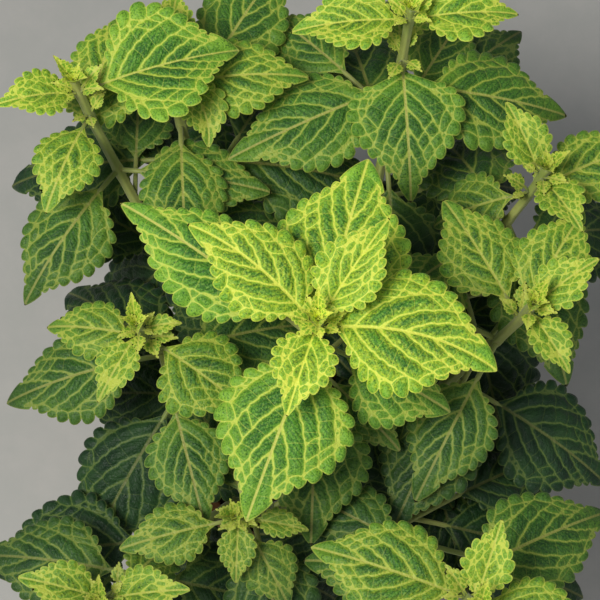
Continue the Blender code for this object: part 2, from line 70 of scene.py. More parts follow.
def pot_inner_radius(height):
    outer = POT_FOOT_RADIUS + (POT_TOP_RADIUS - RIM_STEP - POT_FOOT_RADIUS) * height / POT_HEIGHT
    return outer - WALL


def rounded(corners, radius, steps=4):
    """The profile with its inner corners rounded off."""
    corners = np.array(corners, float)
    points = [corners[0]]
    for before, corner, after in zip(corners, corners[1:], corners[2:]):
        first, last = before - corner, after - corner
        reach = min(radius, 0.45 * np.linalg.norm(first), 0.45 * np.linalg.norm(last))
        first = corner + first / np.linalg.norm(first) * reach
        last = corner + last / np.linalg.norm(last) * reach
        for t in np.linspace(0, 1, steps + 1):
            points.append(first * (1 - t) ** 2 + 2 * corner * t * (1 - t) + last * t ** 2)
    points.append(corners[-1])
    return points


def even_line(points, step):
    """The same line with points no further apart than the step."""
    points = np.array(points, float)
    found = [points[0]]
    for start, end in zip(points, points[1:]):
        count = max(1, math.ceil(np.linalg.norm(end - start) / step))
        found += [start + (end - start) * i / count for i in range(1, count + 1)]
    return np.array(found)


def reach_of(line):
    """How far along a line each of its points is."""
    return np.concatenate(([0], np.cumsum(np.linalg.norm(np.diff(line, axis=0), axis=1))))


def points_at(here, reach, line):
    """The points at these distances along a line."""
    return np.stack([np.interp(here, reach, line[:, k]) for k in range(3)], axis=-1)


def mesh_piece(name, points, faces, materials, smooth=True):
    """An object in the scene from points in millimetres."""
    mesh = bpy.data.meshes.new(name)
    mesh.from_pydata((np.asarray(points, float) * MM).tolist(), [], faces)
    if smooth:
        mesh.shade_smooth()
    for each in materials:
        mesh.materials.append(each)
    thing = bpy.data.objects.new(name, mesh)
    bpy.context.scene.collection.objects.link(thing)
    return thing


def turned(profile, sides, wobble):
    """Points and faces of a closed turned body; the profile starts and ends on the axis."""
    turn = np.linspace(0, 2 * math.pi, sides, endpoint=False)
    points = [(0.0, 0.0, profile[0][1])]
    for radius, height in profile[1:-1]:
        ring = radius + wobble(radius, height, turn)
        points += zip(ring * np.cos(turn), ring * np.sin(turn), np.full(sides, height))
    points.append((0.0, 0.0, profile[-1][1]))
    rings = len(profile) - 2
    faces = []
    for k in range(sides):
        after = (k + 1) % sides
        faces.append((0, 1 + after, 1 + k))
        for ring in range(rings - 1):
            a, b = 1 + ring * sides, 1 + (ring + 1) * sides
            faces.append((a + k, a + after, b + after, b + k))
        last = 1 + (rings - 1) * sides
        faces.append((last + k, last + after, len(points) - 1))
    return points, faces


def plain(radius, height, turn):
    """No wobble: the turned body stays true."""
    return 0 * turn


def outward(thing):
    made = bmesh.new()
    made.from_mesh(thing.data)
    bmesh.ops.recalc_face_normals(made, faces=made.faces)
    made.to_mesh(thing.data)
    made.free()


class Nodes:
    """A node tree under construction. Most methods make one node and give its output."""

    def __init__(self, tree):
        self.tree = tree

    def give(self, socket, value):
        """Link an input to an output, or set its value."""
        if isinstance(value, bpy.types.NodeSocket):
            self.tree.links.new(value, socket)
        else:
            socket.default_value = value

    def put(self, kind, inputs=None, **settings):
        """A node with its settings, and its inputs linked or set."""
        made = self.tree.nodes.new(kind)
        for key, value in settings.items():
            setattr(made, key, value)
        for key, value in (inputs or {}).items():
            self.give(made.inputs[key], value)
        return made

    def blend(self, factor, first, second):
        """The colour that mixes two colours by a factor."""
        first, second = ((*c, 1.0) if isinstance(c, tuple) else c for c in (first, second))
        return self.put("ShaderNodeMix", {0: factor, 6: first, 7: second}, data_type="RGBA",
                        blend_type="MIX", clamp_factor=True).outputs[2]

    def ramp(self, value, start, end, low=0.0, high=1.0):
        """The value carried smoothly from start-end to low-high."""
        return self.put("ShaderNodeMapRange", {
            "Value": value, "From Min": start, "From Max": end, "To Min": low, "To Max": high},
            interpolation_type="SMOOTHSTEP").outputs["Result"]

    def maths(self, operation, first, second=0.0, third=0.0):
        return self.put("ShaderNodeMath", {0: first, 1: second, 2: third},
                        operation=operation).outputs[0]

    def times(self, first, second):
        return self.maths("MULTIPLY", first, second)

    def times_plus(self, first, second, third):
        """The first value times the second, plus the third."""
        return self.maths("MULTIPLY_ADD", first, second, third)

    def attribute(self, name, output="Fac"):
        return self.put("ShaderNodeAttribute", attribute_name=name).outputs[output]

    def noise_of(self, vector, scale, detail=4.0, roughness=0.55):
        return self.put("ShaderNodeTexNoise", {
            "Vector": vector, "Scale": scale, "Detail": detail,
            "Roughness": roughness}).outputs["Fac"]

    def bump(self, height, strength, distance):
        """A normal from a height, for relief up to this many metres deep."""
        return self.put("ShaderNodeBump", {
            "Height": height, "Strength": strength, "Distance": distance}).outputs["Normal"]


class Material(Nodes):
    """A material under construction, with its object-space vector as place."""

    def __init__(self, name):
        self.made = bpy.data.materials.new(name)
        self.made.use_nodes = True
        super().__init__(self.made.node_tree)
        self.place = self.put("ShaderNodeTexCoord").outputs["Object"]

    def finish(self, inputs):
        """The material, once its Principled shader has these inputs."""
        shader = self.tree.nodes["Principled BSDF"]
        for key, value in inputs.items():
            self.give(shader.inputs[key], value)
        return self.made


def grain_group():
    """Fine grit: a colour mask and a height, shared by the clay and the floor."""
    group = bpy.data.node_groups.new("grain", "ShaderNodeTree")
    for name, way, kind in (("Vector", "INPUT", "Vector"), ("Scale", "INPUT", "Float"),
                            ("Mask", "OUTPUT", "Float"), ("Height", "OUTPUT", "Float")):
        group.interface.new_socket(name, in_out=way, socket_type="NodeSocket" + kind)
    nodes = Nodes(group)
    vector, scale = nodes.put("NodeGroupInput").outputs[:2]
    coarse = nodes.noise_of(vector, scale, 6.0, 0.65)
    pits = nodes.put("ShaderNodeTexVoronoi", {
        "Vector": vector, "Scale": nodes.times(scale, 5.0)}).outputs["Distance"]
    nodes.put("NodeGroupOutput", {"Mask": nodes.ramp(coarse, 0.35, 0.7),
                                  "Height": nodes.times_plus(pits, 0.35, coarse)})
    return group


grain = grain_group()


def clay_material():
    clay = Material("fired_clay")
    grit = clay.put("ShaderNodeGroup", {"Vector": clay.place, "Scale": 160.0},
                    node_tree=grain).outputs
    height = clay.put("ShaderNodeSeparateXYZ", {"Vector": clay.place}).outputs["Z"]
    cloud = clay.noise_of(clay.place, 22.0, 5.0)
    colour = clay.blend(clay.ramp(cloud, 0.3, 0.7), (0.36, 0.125, 0.062), (0.56, 0.235, 0.12))
    colour = clay.blend(clay.times(grit["Mask"], 0.35), colour, (0.62, 0.33, 0.19))

    # Pale salts low on the wall and under the rim, then the darker damp patches
    salts = clay.ramp(clay.noise_of(clay.place, 48.0, 8.0, 0.7), 0.5, 0.72)
    low, under_rim = clay.ramp(height, 0.052, 0.004), clay.ramp(height, 0.075, 0.103)
    where = clay.maths("MAXIMUM", low, clay.times(under_rim, 0.7))
    bloom = clay.times(salts, clay.maths("ADD", where, 0.12))
    colour = clay.blend(clay.times(bloom, 0.75), colour, (0.74, 0.62, 0.5))
    damp = clay.times(clay.ramp(cloud, 0.42, 0.62), clay.ramp(height, 0.09, 0.03))
    colour = clay.blend(clay.times(damp, 0.35), colour, (0.2, 0.075, 0.045))
    lines = clay.put("ShaderNodeTexWave", {
        "Vector": clay.place, "Scale": 260.0, "Distortion": 2.0, "Detail": 2.0},
        bands_direction="Z").outputs["Fac"]
    relief = clay.times_plus(lines, 0.25, grit["Height"])
    return clay.finish({"Base Color": colour, "Normal": clay.bump(relief, 0.5, 0.0004),
                     "Roughness": clay.ramp(grit["Mask"], 0.0, 1.0, 0.78, 0.95)})


rim_foot = POT_HEIGHT - RIM_HEIGHT
pot_corners = (
    (0.0, FLOOR),
    (pot_inner_radius(FLOOR) - 2.0, FLOOR),
    (pot_inner_radius(FLOOR + 3.0), FLOOR + 3.0),
    (pot_inner_radius(POT_HEIGHT), POT_HEIGHT - 1.0),
    (pot_inner_radius(POT_HEIGHT) + 1.5, POT_HEIGHT),
    (POT_TOP_RADIUS - 2.0, POT_HEIGHT),
    (POT_TOP_RADIUS, POT_HEIGHT - 2.0),
    (POT_TOP_RADIUS - 1.2, rim_foot + 1.5),
    (POT_TOP_RADIUS - 2.4, rim_foot),
    (pot_inner_radius(rim_foot) + WALL, rim_foot - 1.0),
    (POT_FOOT_RADIUS + 0.6, 2.0),
    (POT_FOOT_RADIUS - 1.4, 0.0),
    (0.0, 0.0),
)


def turning_marks(radius, height, turn):
    """Faint rings from the wheel, and a wall that is not quite round."""
    rings = TURNING_DEPTH * math.sin(2 * math.pi * height / TURNING_PITCH)
    lean = 0.16 * np.sin(2 * turn + 0.6) + 0.09 * np.sin(3 * turn + height / 26)
    return (rings + lean) if height > 4 and radius > 30 else 0 * turn


pot = mesh_piece("clay_pot", *turned(even_line(rounded(pot_corners, POT_EDGE_RADIUS), POT_STEP),
                                     POT_SIDES, turning_marks), [clay_material()])
outward(pot)
for i in range(DRAINS):
    turn = 2 * math.pi * i / DRAINS
    drill_side = [(0, DRILL_LOW), (DRAIN_RADIUS, DRILL_LOW), (DRAIN_RADIUS, DRILL_HIGH),
                  (0, DRILL_HIGH)]
    drill = mesh_piece("drill", *turned(drill_side, DRAIN_SIDES, plain), [])
    drill.location = (MM * DRAIN_CIRCLE * math.cos(turn), MM * DRAIN_CIRCLE * math.sin(turn), 0)
    outward(drill)
    hole = pot.modifiers.new("drain", "BOOLEAN")
    hole.object, hole.solver = drill, "EXACT"
    bpy.context.view_layer.update()
    graph = bpy.context.evaluated_depsgraph_get()
    cut = bpy.data.meshes.new_from_object(pot.evaluated_get(graph))
    pot.modifiers.clear()
    pot.data = cut
    bpy.data.objects.remove(drill, do_unlink=True)
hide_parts("pot")
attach(pot, "root")

# The potting mix
# Dark peat and compost that fills the pot to just under the rim, crumbly on top, with chips of
# bark and white grains of perlite. The stems stand in it.

SOIL_SEED = 5
SOIL_EDGE, SOIL_CROWN, GAP = 107.0, 4.0, 0.3
SOIL_RINGS, SOIL_SIDES = 46, 150
KIND_CRUMB, KIND_CHIP, KIND_GRAIN = 0.0, 0.5, 1.0
# What lies on the mix: how many, kind, smallest and largest size, and flatness
LOOSE = ((300, KIND_CRUMB, (0.9, 2.6), 0.8), (60, KIND_CHIP, (2.0, 4.6), 0.32),
         (55, KIND_GRAIN, (0.8, 1.7), 0.85))
soil_radius = pot_inner_radius(SOIL_EDGE) - GAP


def soil_height(radius):
    return SOIL_EDGE + SOIL_CROWN * math.cos(math.pi / 2 * min(1.0, radius / soil_radius))


def soil_surface(x, y):
    """The crumbly top of the mix at a place."""
    radius = math.hypot(x, y)
    rough = 1.5 * noise.noise((x / 7, y / 7, 0)) + 0.9 * noise.noise((x / 2.6, y / 2.6, 4))
    calm = min(1.0, max(0.0, (soil_radius - radius) / 5))
    return soil_height(radius) + rough * calm - 0.3


def soil_material():
    mix = Material("peat_and_bark")
    kind = mix.attribute("kind")
    clods = mix.noise_of(mix.place, 210.0, 7.0, 0.7)
    colour = mix.blend(mix.ramp(clods, 0.35, 0.68), (0.012, 0.008, 0.006), (0.07, 0.042, 0.026))
    bark = mix.blend(clods, (0.06, 0.03, 0.016), (0.19, 0.105, 0.055))
    perlite = mix.blend(clods, (0.55, 0.53, 0.48), (0.8, 0.79, 0.75))
    colour = mix.blend(mix.ramp(kind, 0.2, 0.4), colour, bark)
    colour = mix.blend(mix.ramp(kind, 0.7, 0.9), colour, perlite)
    return mix.finish({"Base Color": colour, "Roughness": mix.ramp(clods, 0.3, 0.7, 0.98, 0.8),
                     "Normal": mix.bump(clods, 0.8, 0.0009)})


def lump(draw, size, flat):
    """A small broken grain: points and faces round the origin."""
    made = bmesh.new()
    bmesh.ops.create_icosphere(made, subdivisions=2, radius=1.0)
    offset = Vector(draw.uniform(-50, 50, 3))
    faces = [tuple(v.index for v in face.verts) for face in made.faces]
    points = [vertex.co * (1 + 0.45 * noise.noise(vertex.co * 1.4 + offset))
              for vertex in made.verts]
    made.free()
    spin = Matrix.Rotation(draw.uniform(0, 6.28), 3, "Z") @ Matrix.Rotation(
        draw.uniform(-0.5, 0.5), 3, "X")
    stretch = Vector((size, size * draw.uniform(0.55, 0.95), size * flat))
    return [spin @ Vector([a * b for a, b in zip(p, stretch)]) for p in points], faces


draw = np.random.default_rng(SOIL_SEED)
soil_rings = [(soil_radius * k / SOIL_RINGS, soil_height(soil_radius * k / SOIL_RINGS))
              for k in range(SOIL_RINGS + 1)]
soil_bottom = FLOOR + GAP
soil_profile = soil_rings + [
    (pot_inner_radius(soil_bottom + 4) - GAP, soil_bottom + 4),
    (pot_inner_radius(soil_bottom) - 4, soil_bottom),
    (0.0, soil_bottom)]
soil_points, soil_faces = turned(soil_profile, SOIL_SIDES, plain)
soil_points = [(x, y, soil_surface(x, y)) if z > SOIL_EDGE - 0.01 else (x, y, z)
               for x, y, z in soil_points]
soil_kinds = [KIND_CRUMB] * len(soil_points)
for count, kind, sizes, flat in LOOSE:
    for _ in range(count):
        reach = (soil_radius - 4.5) * math.sqrt(draw.uniform())
        way = draw.uniform(0, 2 * math.pi)
        x, y = reach * math.cos(way), reach * math.sin(way)
        points, faces = lump(draw, draw.uniform(*sizes), flat)
        centre = Vector((x, y, soil_surface(x, y) + 0.1))
        start = len(soil_points)
        soil_points += [tuple(p + centre) for p in points]
        soil_faces += [tuple(start + i for i in face) for face in faces]
        soil_kinds += [kind] * len(points)
soil = mesh_piece("potting_mix", soil_points, soil_faces, [soil_material()])
outward(soil)
soil.data.attributes.new("kind", "FLOAT", "POINT").data.foreach_set("value", soil_kinds)
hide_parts("soil")
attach(soil, "root")

# How the plant grows
# Ten stems. Leaves stand in opposite pairs, each pair at right angles to the pair below it, and a
# leaf that would run into a neighbour bends or turns until it is clear.

STEM_FOOT_RADIUS, STEM_TIP_RADIUS, STEM_POINTS, HOLE_DEPTH = 3.4, 2.3, 8, 28.0
ARC_STEPS = 36
PETIOLE_HALF = 1.25
BLADE_ALONG = (0.0, 0.05, 0.13, 0.24, 0.36, 0.50, 0.64, 0.76, 0.85, 0.92, 0.97, 1.0)
BLADE_HALF = (0.03, 0.22, 0.60, 0.90, 1.00, 0.93, 0.73, 0.48, 0.28, 0.15, 0.07, 0.0)
WAVE_LENGTH = 34.0
BLADE_ROOM, LOBE_ROOM, POT_ROOM, ROOT_REACH = 2.8, 1.8, 3.0, 9.0
GRID_ACROSS = (-1.0, -0.52, 0.0, 0.52, 1.0)
GRID_STALK = (-0.85, -0.5, -0.2, 0.0)
GRID_ROOT_FACES = 2 * len(GRID_STALK) * (len(GRID_ACROSS) - 1)

# A leaf of each age, from the growing tip down
AGES = [dict(zip(("length", "width", "petiole", "pitch", "droop", "fold", "curl"), row))
        for row in ((15, 8, 3, 62, 10, 40, 10), (38, 25, 5, 40, 45, 24, 24),
                    (58, 40, 10, 24, 50, 10, 34), (70, 48, 15, 10, 52, 6, 36),
                    (78, 56, 24, 0, 52, 4, 34), (76, 58, 26, -6, 44, 4, 30))]


def own(*values, **more):
    """What is particular to a leaf: its azimuth, length, width, stalk, pitch and droop in turn."""
    return dict(zip(("azimuth", "length", "width", "petiole", "pitch", "droop"), values), **more)


# Each stem: where it leaves the mix, its tip, the azimuth of its youngest pair, how far below the
# tip each pair stands, and what is particular to single leaves, by pair and side
STEMS = {
    "shoot_centre": dict(
        foot=(0, 0), tip=(0, 0, 298), turn=95, drops=(1, 7, 14, 23, 33, 62, 88, 112), leaves={
            (1, 0): own(54, 52, 33, 6, 32, 34), (1, 1): own(252, 42, 30, 4, 14, 40),
            (2, 0): own(134, 70, 46, 8, 24, 36, sweep=20),
            (2, 1): own(-5, 78, 62, 9, 26, 52, sweep=-26),
            (3, 0): own(74, 78, 68, 10, 17, 24), (3, 1): own(249, 80, 66, 12, 2, 26),
            (4, 0): own(144, 94, 52, 23, 18, 36), (4, 1): own(-24, 56, 50, 16, -4, 30),
            (5, 0): own(268, 66, 56, 22, -2, 30), (5, 1): own(41, 72, 54, 22, 6, 34),
            (6, 0): own(-44, petiole=28), (6, 1): own(140, petiole=28),
            (7, 0): own(214, petiole=34), (7, 1): own(46, petiole=34),
        }),
    "shoot_back": dict(
        foot=(16, 40), tip=(46, 166, 280), turn=100, drops=(1, 7, 30, 43, 74, 104), leaves={
            (1, 0): own(185, 54, 34, 5, 14, 40), (1, 1): own(5, 50, 34, 5, 14, 40),
            (2, 0): own(274, 65, 58, 7, -2, 44, belly=0.78, fold=4, curl=12),
            (2, 1): own(93, 42, 32, 8, 8, 70),
            (3, 0): own(203, 78, 54, 14, 2, 20), (3, 1): own(-5, 74, 56, 16, 0, 30),
        }),
    "shoot_back_left": dict(
        foot=(-44, 20), tip=(-118, 132, 270), turn=150, drops=(1, 8, 22, 54, 84, 112), leaves={
            (1, 0): own(17, 70, 66, 12, 14, 34), (1, 1): own(200, 40, 26),
            (2, 0): own(250, 48, 34), (2, 1): own(76, 46, 34),
            (3, 0): own(-8, 66, 46, 12, 10, 30), (4, 0): own(72),
        }),
    "shoot_left": dict(
        foot=(-44, 0), tip=(-85, 10, 262), turn=100, drops=(1, 8, 18, 40, 70, 98), leaves={
            (1, 0): own(240, 34, 20, 6, 8, 40), (1, 1): own(6, 17, 10, 4, 36, 60),
            (2, 0): own(-36, 50, 46, 12, 16, 50), (2, 1): own(170, 44, 30, 8, 10, 50),
            (4, 0): own(122), (4, 1): own(238), (5, 0): own(172, petiole=10),
        }),
    "shoot_front_left": dict(
        foot=(-28, -34), tip=(-100, -118, 242), turn=85, drops=(1, 8, 19, 40, 60, 80, 100),
        leaves={(2, 1): own(50, 40, 28, pitch=-16)}),
    "shoot_front": dict(
        foot=(-10, -44), tip=(-38, -78, 244), turn=20, drops=(1, 8, 16, 36, 64, 90), leaves={
            (1, 0): own(268, 28, 18, 3, 4, 46), (1, 1): own(-14, 26, 14, 8, 10, 40),
            (2, 0): own(194, 46, 30, 14, 8, 34), (2, 1): own(300, 36, 28, 12, -4, 40),
        }),
    "shoot_front_right": dict(
        foot=(26, -36), tip=(72, -124, 262), turn=75, drops=(1, 8, 19, 40, 60, 80, 100, 112),
        leaves={
            (1, 0): own(71), (1, 1): own(251), (2, 0): own(161, 68, 50, 8, 12, 34),
            (2, 1): own(-19), (3, 0): own(26), (4, 0): own(115, pitch=-8),
            (6, 1): own(46, petiole=34),
        }),
    "shoot_right": dict(
        foot=(42, -6), tip=(102, 20, 264), turn=60, drops=(1, 8, 19, 40, 60, 80, 100), leaves={
            (1, 0): own(32), (1, 1): own(300, 32, 20), (2, 0): own(119, 60, 42, 12, 12, 30),
            (3, 0): own(242, 66, 44, 23, 2, 30),
        }),
    "shoot_back_right": dict(
        foot=(34, 24), tip=(112, 92, 256), turn=20, drops=(1, 8, 19, 40, 60, 80, 100),
        leaves={(2, 0): own(186, 48, 38, pitch=-14)}),
    "shoot_back_centre": dict(
        foot=(-36, 37), tip=(-76, 150, 262), turn=176, drops=(1, 8, 19, 40, 60, 80, 100), leaves={
            (1, 0): own(322, 34, 24, 15, 10, 46, sweep=-62),
            (3, 0): own(60, petiole=34, pitch=20, droop=40),
            (5, 0): own(62, petiole=38, pitch=4), (6, 1): own(205, petiole=30),
        }),
}
SEED, AZIMUTH_SCATTER, LENGTH_SCATTER = 11, 7.0, 0.08
PITCH_STEPS = (0, -4, 4, -8, 8, -12, 12, -17, -23, -30, -38, -47)
AZIMUTH_STEPS = (0, 5, -5, 10, -10, 16, -16)
SIZES = (1.0, 0.88, 0.76, 0.64)


def stem_line(stem):
    """Points of a stem's axis, from the bottom of its hole to its tip."""
    x, y = stem["foot"]
    low = np.array((x, y, SOIL_EDGE - HOLE_DEPTH + GAP))
    out = np.array((x, y, SOIL_EDGE + SOIL_CROWN + 3.0))
    tip = np.array(stem["tip"], float)
    rise = tip[2] - out[2]
    first = out + (0, 0, 0.45 * rise)
    second = tip - (0.18 * (tip[0] - x), 0.18 * (tip[1] - y), 0.35 * rise)
    points = [low]
    for share in np.linspace(0, 1, STEM_POINTS):
        rest = 1 - share
        points.append(out * rest ** 3 + 3 * first * share * rest ** 2
                      + 3 * second * share ** 2 * rest + tip * share ** 3)
    return np.array(points)


def below_tip(line, drop):
    """The point this far below the end of a line."""
    reach = reach_of(line)
    return points_at(reach[-1] - drop, reach, line)


def rib_frame(leaf):
    """Distances, places, left and up along a leaf, from the stem's axis to the blade's tip."""
    total = leaf["petiole"] + leaf["length"]
    share = np.linspace(0, 1, ARC_STEPS + 1)
    pitch = np.radians(leaf["pitch"] - leaf["droop"] * share ** 1.3)
    heading = np.radians(leaf["azimuth"] + leaf.get("sweep", 0) * share ** 1.5)
    ahead = np.stack((np.cos(pitch) * np.cos(heading), np.cos(pitch) * np.sin(heading),
                      np.sin(pitch)), axis=1)
    steps = (ahead[1:] + ahead[:-1]) / 2 * total / ARC_STEPS
    place = leaf["root"] + np.concatenate((np.zeros((1, 3)), np.cumsum(steps, axis=0)))
    left = np.stack((-np.sin(heading), np.cos(heading), 0 * heading), axis=1)
    up = np.cross(ahead, left)
    return share * total, place, left, up


def spread(leaf, x, y):
    """Points and normals of the blade's middle surface, from flat x along the rib and y across."""
    arc, place, left, up = rib_frame(leaf)
    here = leaf["petiole"] + x
    at = [points_at(here, arc, part) for part in (place, left, up)]
    half = leaf["width"] / 2
    fold = math.radians(leaf["fold"])
    curl = math.radians(leaf["curl"]) / half
    out = np.abs(y)
    turn = fold - curl * out
    across = (np.sin(fold) - np.sin(turn)) / curl
    lift = (np.cos(turn) - np.cos(fold)) / curl
    phase = leaf["phase"] + 1.6 * (y > 0)
    lift = lift + leaf["wave"] * (out / half) ** 2 * np.sin(2 * np.pi * here / WAVE_LENGTH + phase)
    side = np.sign(y)
    point = at[0] + at[1] * (side * across)[:, None] + at[2] * lift[:, None]
    normal = at[2] * np.cos(turn)[:, None] - at[1] * (side * np.sin(turn))[:, None]
    return point, normal


def blade_half(leaf, x):
    """Half the blade's width at x, without lobes; a belly under 1 moves the widest part back."""
    share = (np.maximum(x, 0) / leaf["length"]) ** leaf.get("belly", 1.0)
    return leaf["width"] / 2 * np.interp(share, BLADE_ALONG, BLADE_HALF)


def proxy(leaf):
    """The leaf's middle surface as a coarse grid, to test for room."""
    xs = np.concatenate((leaf["petiole"] * np.array(GRID_STALK),
                         leaf["length"] * np.linspace(0.1, 1, 8)))
    grid_x, grid_y = [], []
    for x in xs:
        reach = blade_half(leaf, x) + LOBE_ROOM if 0 < x < leaf["length"] else PETIOLE_HALF
        for share in GRID_ACROSS:
            grid_x.append(x)
            grid_y.append(share * reach + 1e-6)
    points, _ = spread(leaf, np.array(grid_x), np.array(grid_y))
    faces = []
    wide = len(GRID_ACROSS)
    for row in range(len(xs) - 1):
        for column in range(wide - 1):
            a = row * wide + column
            b = a + wide
            faces += [(a, a + 1, b + 1), (a, b + 1, b)]
    return points, faces


class Room:
    """What is already in place, for testing whether a leaf is clear of it."""

    def __init__(self):
        self.points, self.faces, self.owners = [], [], []

    def add(self, points, faces, owner):
        start = len(self.points)
        self.points += [tuple(p) for p in points]
        self.faces += [tuple(start + i for i in face) for face in faces]
        self.owners += [owner] * len(faces)
        self.tree = BVHTree.FromPolygons(self.points, self.faces)
        self.array = np.array(self.points)

    def clear(self, points, faces, owner, root):
        radius = np.hypot(points[:, 0], points[:, 1])
        if ((radius < POT_TOP_RADIUS + POT_ROOM) & (points[:, 2] < POT_HEIGHT + POT_ROOM)).any():
            return False
        mine = BVHTree.FromPolygons([tuple(p) for p in points], faces)
        for own, other in mine.overlap(self.tree):
            if self.owners[other] != owner or own >= GRID_ROOT_FACES:
                return False
        low, high = points.min(axis=0) - BLADE_ROOM, points.max(axis=0) + BLADE_ROOM
        for tree, others in ((self.tree, points), (mine, self.array)):
            near = ((others > low) & (others < high)).all(axis=1)
            near &= np.linalg.norm(others - root, axis=1) > ROOT_REACH
            if any(tree.find_nearest(Vector(p), BLADE_ROOM)[0] is not None for p in others[near]):
                return False
        return True


def ring_faces(rings, sides):
    """Four-cornered faces between closed rings of points that follow one another."""
    return [(k * sides + side, k * sides + (side + 1) % sides,
             (k + 1) * sides + (side + 1) % sides, (k + 1) * sides + side)
            for k in range(rings - 1) for side in range(sides)]


def tube(line, low, high):
    """A four-sided tube round a stem's axis, to test for room."""
    points = []
    for k, centre in enumerate(line):
        radius = low + (high - low) * k / (len(line) - 1)
        points += [centre + radius * np.array(way) for way in
                   ((1, 0, 0), (0, 1, 0), (-1, 0, 0), (0, -1, 0))]
    return points, [face for a, b, c, d in ring_faces(len(line), 4)
                    for face in ((a, b, c), (a, c, d))]


def wanted_leaves():
    """Every leaf as it would grow with nothing in its way, in the order in which it takes room."""
    draw = np.random.default_rng(SEED)
    found = []
    for name, stem in STEMS.items():
        line = stem_line(stem)
        for pair, drop in enumerate(stem["drops"]):
            age = AGES[min(pair, len(AGES) - 1)]
            for side in (0, 1):
                scatter = draw.uniform(-1, 1, 4)
                size = 1 + LENGTH_SCATTER * scatter[1]
                leaf = dict(age, stem=name, pair=pair, side=side)
                leaf["azimuth"] = (stem["turn"] + 90 * pair + 180 * side
                                   + AZIMUTH_SCATTER * scatter[0])
                leaf["length"] = age["length"] * size
                leaf["width"] = age["width"] * size
                leaf["phase"] = math.pi * scatter[2]
                leaf["wave"] = 0.0 if pair < 2 else 0.5 + 0.5 * abs(scatter[3])
                chosen = stem["leaves"].get((pair, side))
                leaf.update(chosen or {})
                node = below_tip(line, drop)
                way = math.radians(leaf["azimuth"])
                leaf["root"] = node + 0.5 * np.array((math.cos(way), math.sin(way), 0))
                rank = 0 if name == "shoot_centre" else 1 if chosen or pair < 1 else 2
                found.append(((rank, pair if rank != 1 else 0, len(found)), leaf))
    return [leaf for _, leaf in sorted(found, key=lambda entry: entry[0])]


def ways_to_give():
    """Changes of pitch, azimuth and size, the smallest first."""
    found = [(i + 1.5 * j + 4 * k, pitch, azimuth, size) for i, pitch in enumerate(PITCH_STEPS)
             for j, azimuth in enumerate(AZIMUTH_STEPS) for k, size in enumerate(SIZES)]
    return [way[1:] for way in sorted(found)]


def settled_leaves():
    """The leaves, bent clear of each other, of the stems and of the pot.

    A leaf that finds no room is left out."""
    room = Room()
    for name, stem in STEMS.items():
        room.add(*tube(stem_line(stem), STEM_FOOT_RADIUS, STEM_TIP_RADIUS), name)
    ways = ways_to_give()
    settled = []
    for leaf in wanted_leaves():
        for pitch, azimuth, size in ways:
            turned_leaf = dict(leaf, pitch=leaf["pitch"] + pitch, azimuth=leaf["azimuth"] + azimuth,
                               length=leaf["length"] * size, width=leaf["width"] * size)
            points, faces = proxy(turned_leaf)
            if room.clear(points, faces, leaf["stem"], leaf["root"]):
                room.add(points, faces, leaf["stem"])
                settled.append(turned_leaf)
                break
    return settled


# Old leaves low on the stems, which close the gaps between the others: the stem, how far below its
# tip, and the leaf's azimuth, length, stalk and pitch
LOW_LEAVES = (
    ("shoot_back", 72, 60, 56, 34, 10), ("shoot_right", 120, 285, 60, 44, 14),
    ("shoot_back_centre", 132, 150, 60, 44, 14), ("shoot_back", 60, 135, 56, 34, 10),
    ("shoot_back_right", 144, 30, 56, 34, 10), ("shoot_front_right", 60, 150, 50, 24, 6),
    ("shoot_back", 156, 60, 56, 34, 10), ("shoot_back", 72, 45, 58, 50, 2),
    ("shoot_left", 36, 285, 56, 34, 10), ("shoot_back_centre", 108, 315, 60, 44, 14),
    ("shoot_back_left", 72, 90, 50, 24, 6), ("shoot_centre", 72, 315, 44, 14, 8),
    ("shoot_back_centre", 168, 180, 50, 30, -4),
)


def low_leaves():
    """The leaves of that table, which stay as they are and give no way."""
    found = []
    for name, drop, azimuth, length, petiole, pitch in LOW_LEAVES:
        root = below_tip(stem_line(STEMS[name]), drop)
        found.append(dict(AGES[4], stem=name, pair=5, side=0, root=root, azimuth=azimuth,
                          length=length, width=0.72 * length, petiole=petiole, pitch=pitch,
                          droop=34, curl=28, phase=0.9 * len(found), wave=0.8))
    return found


leaves = settled_leaves() + low_leaves()

# Leaf blades
# Soft, thin and deeply quilted: the blade swells between its sunk veins, and round lobes line its
# margin. The veins are cream to yellow. They bend forward, fork to every notch between two lobes,
# and are joined by cross veins into a net of round and long cells.

BLADE_THICK, BASE_BACK, BASE_HALF = 0.42, 1.5, 0.9
LOBED_FROM, LEAST_LOBES, LOBE_EVERY, LAST_LOBE = 0.07, 4.7, 13.2, (0.78, 0.86)
LOBE_DEPTH, LOBE_LEAN, LOBE_INSIDE = 0.40, 0.15, 0.50
LOBE_STEPS = (0.0, 0.05, 0.15, 0.30, 0.50, 0.70, 0.85, 0.95)
TIP_TAPER, TIP_STEPS = 0.42, (0.12, 0.3, 0.5, 0.7, 0.86, 0.96)
VEIN_START = (0.02, 0.11, 0.25, 0.41, 0.58)
VEIN_ANGLE = (62, 52, 44, 38, 33)
VEIN_LIMIT = (0.92, 0.80, 0.64, 0.46, 0.28)
VEIN_END = 0.80
VEIN_SWAYS = ((0.34, 11), (0.12, 5))
RIB_HALF, MAIN_HALF, BRANCH_HALF = (0.85, 0.52, 0.25), (0.44, 0.26), (0.24, 0.20, 0.34)
LINK_AT, LINK_HALF = (0.32, 1.15, 2.05), (0.26, 0.22, 0.18)
RUNG_GAP, RUNG_HALF, OUTER_RUNG_HALF = 8.0, 0.15, 0.20
FILL_STEP, SMALL_FILL_STEP, UNDER_STEP, ROW_HEIGHT = 1.2, 0.8, 3.3, 0.87
QUILT, QUILT_REACH, PUCKER, PUCKER_REACH, CALM_REACH = 2.0, 2.6, 0.5, 0.9, 1.1
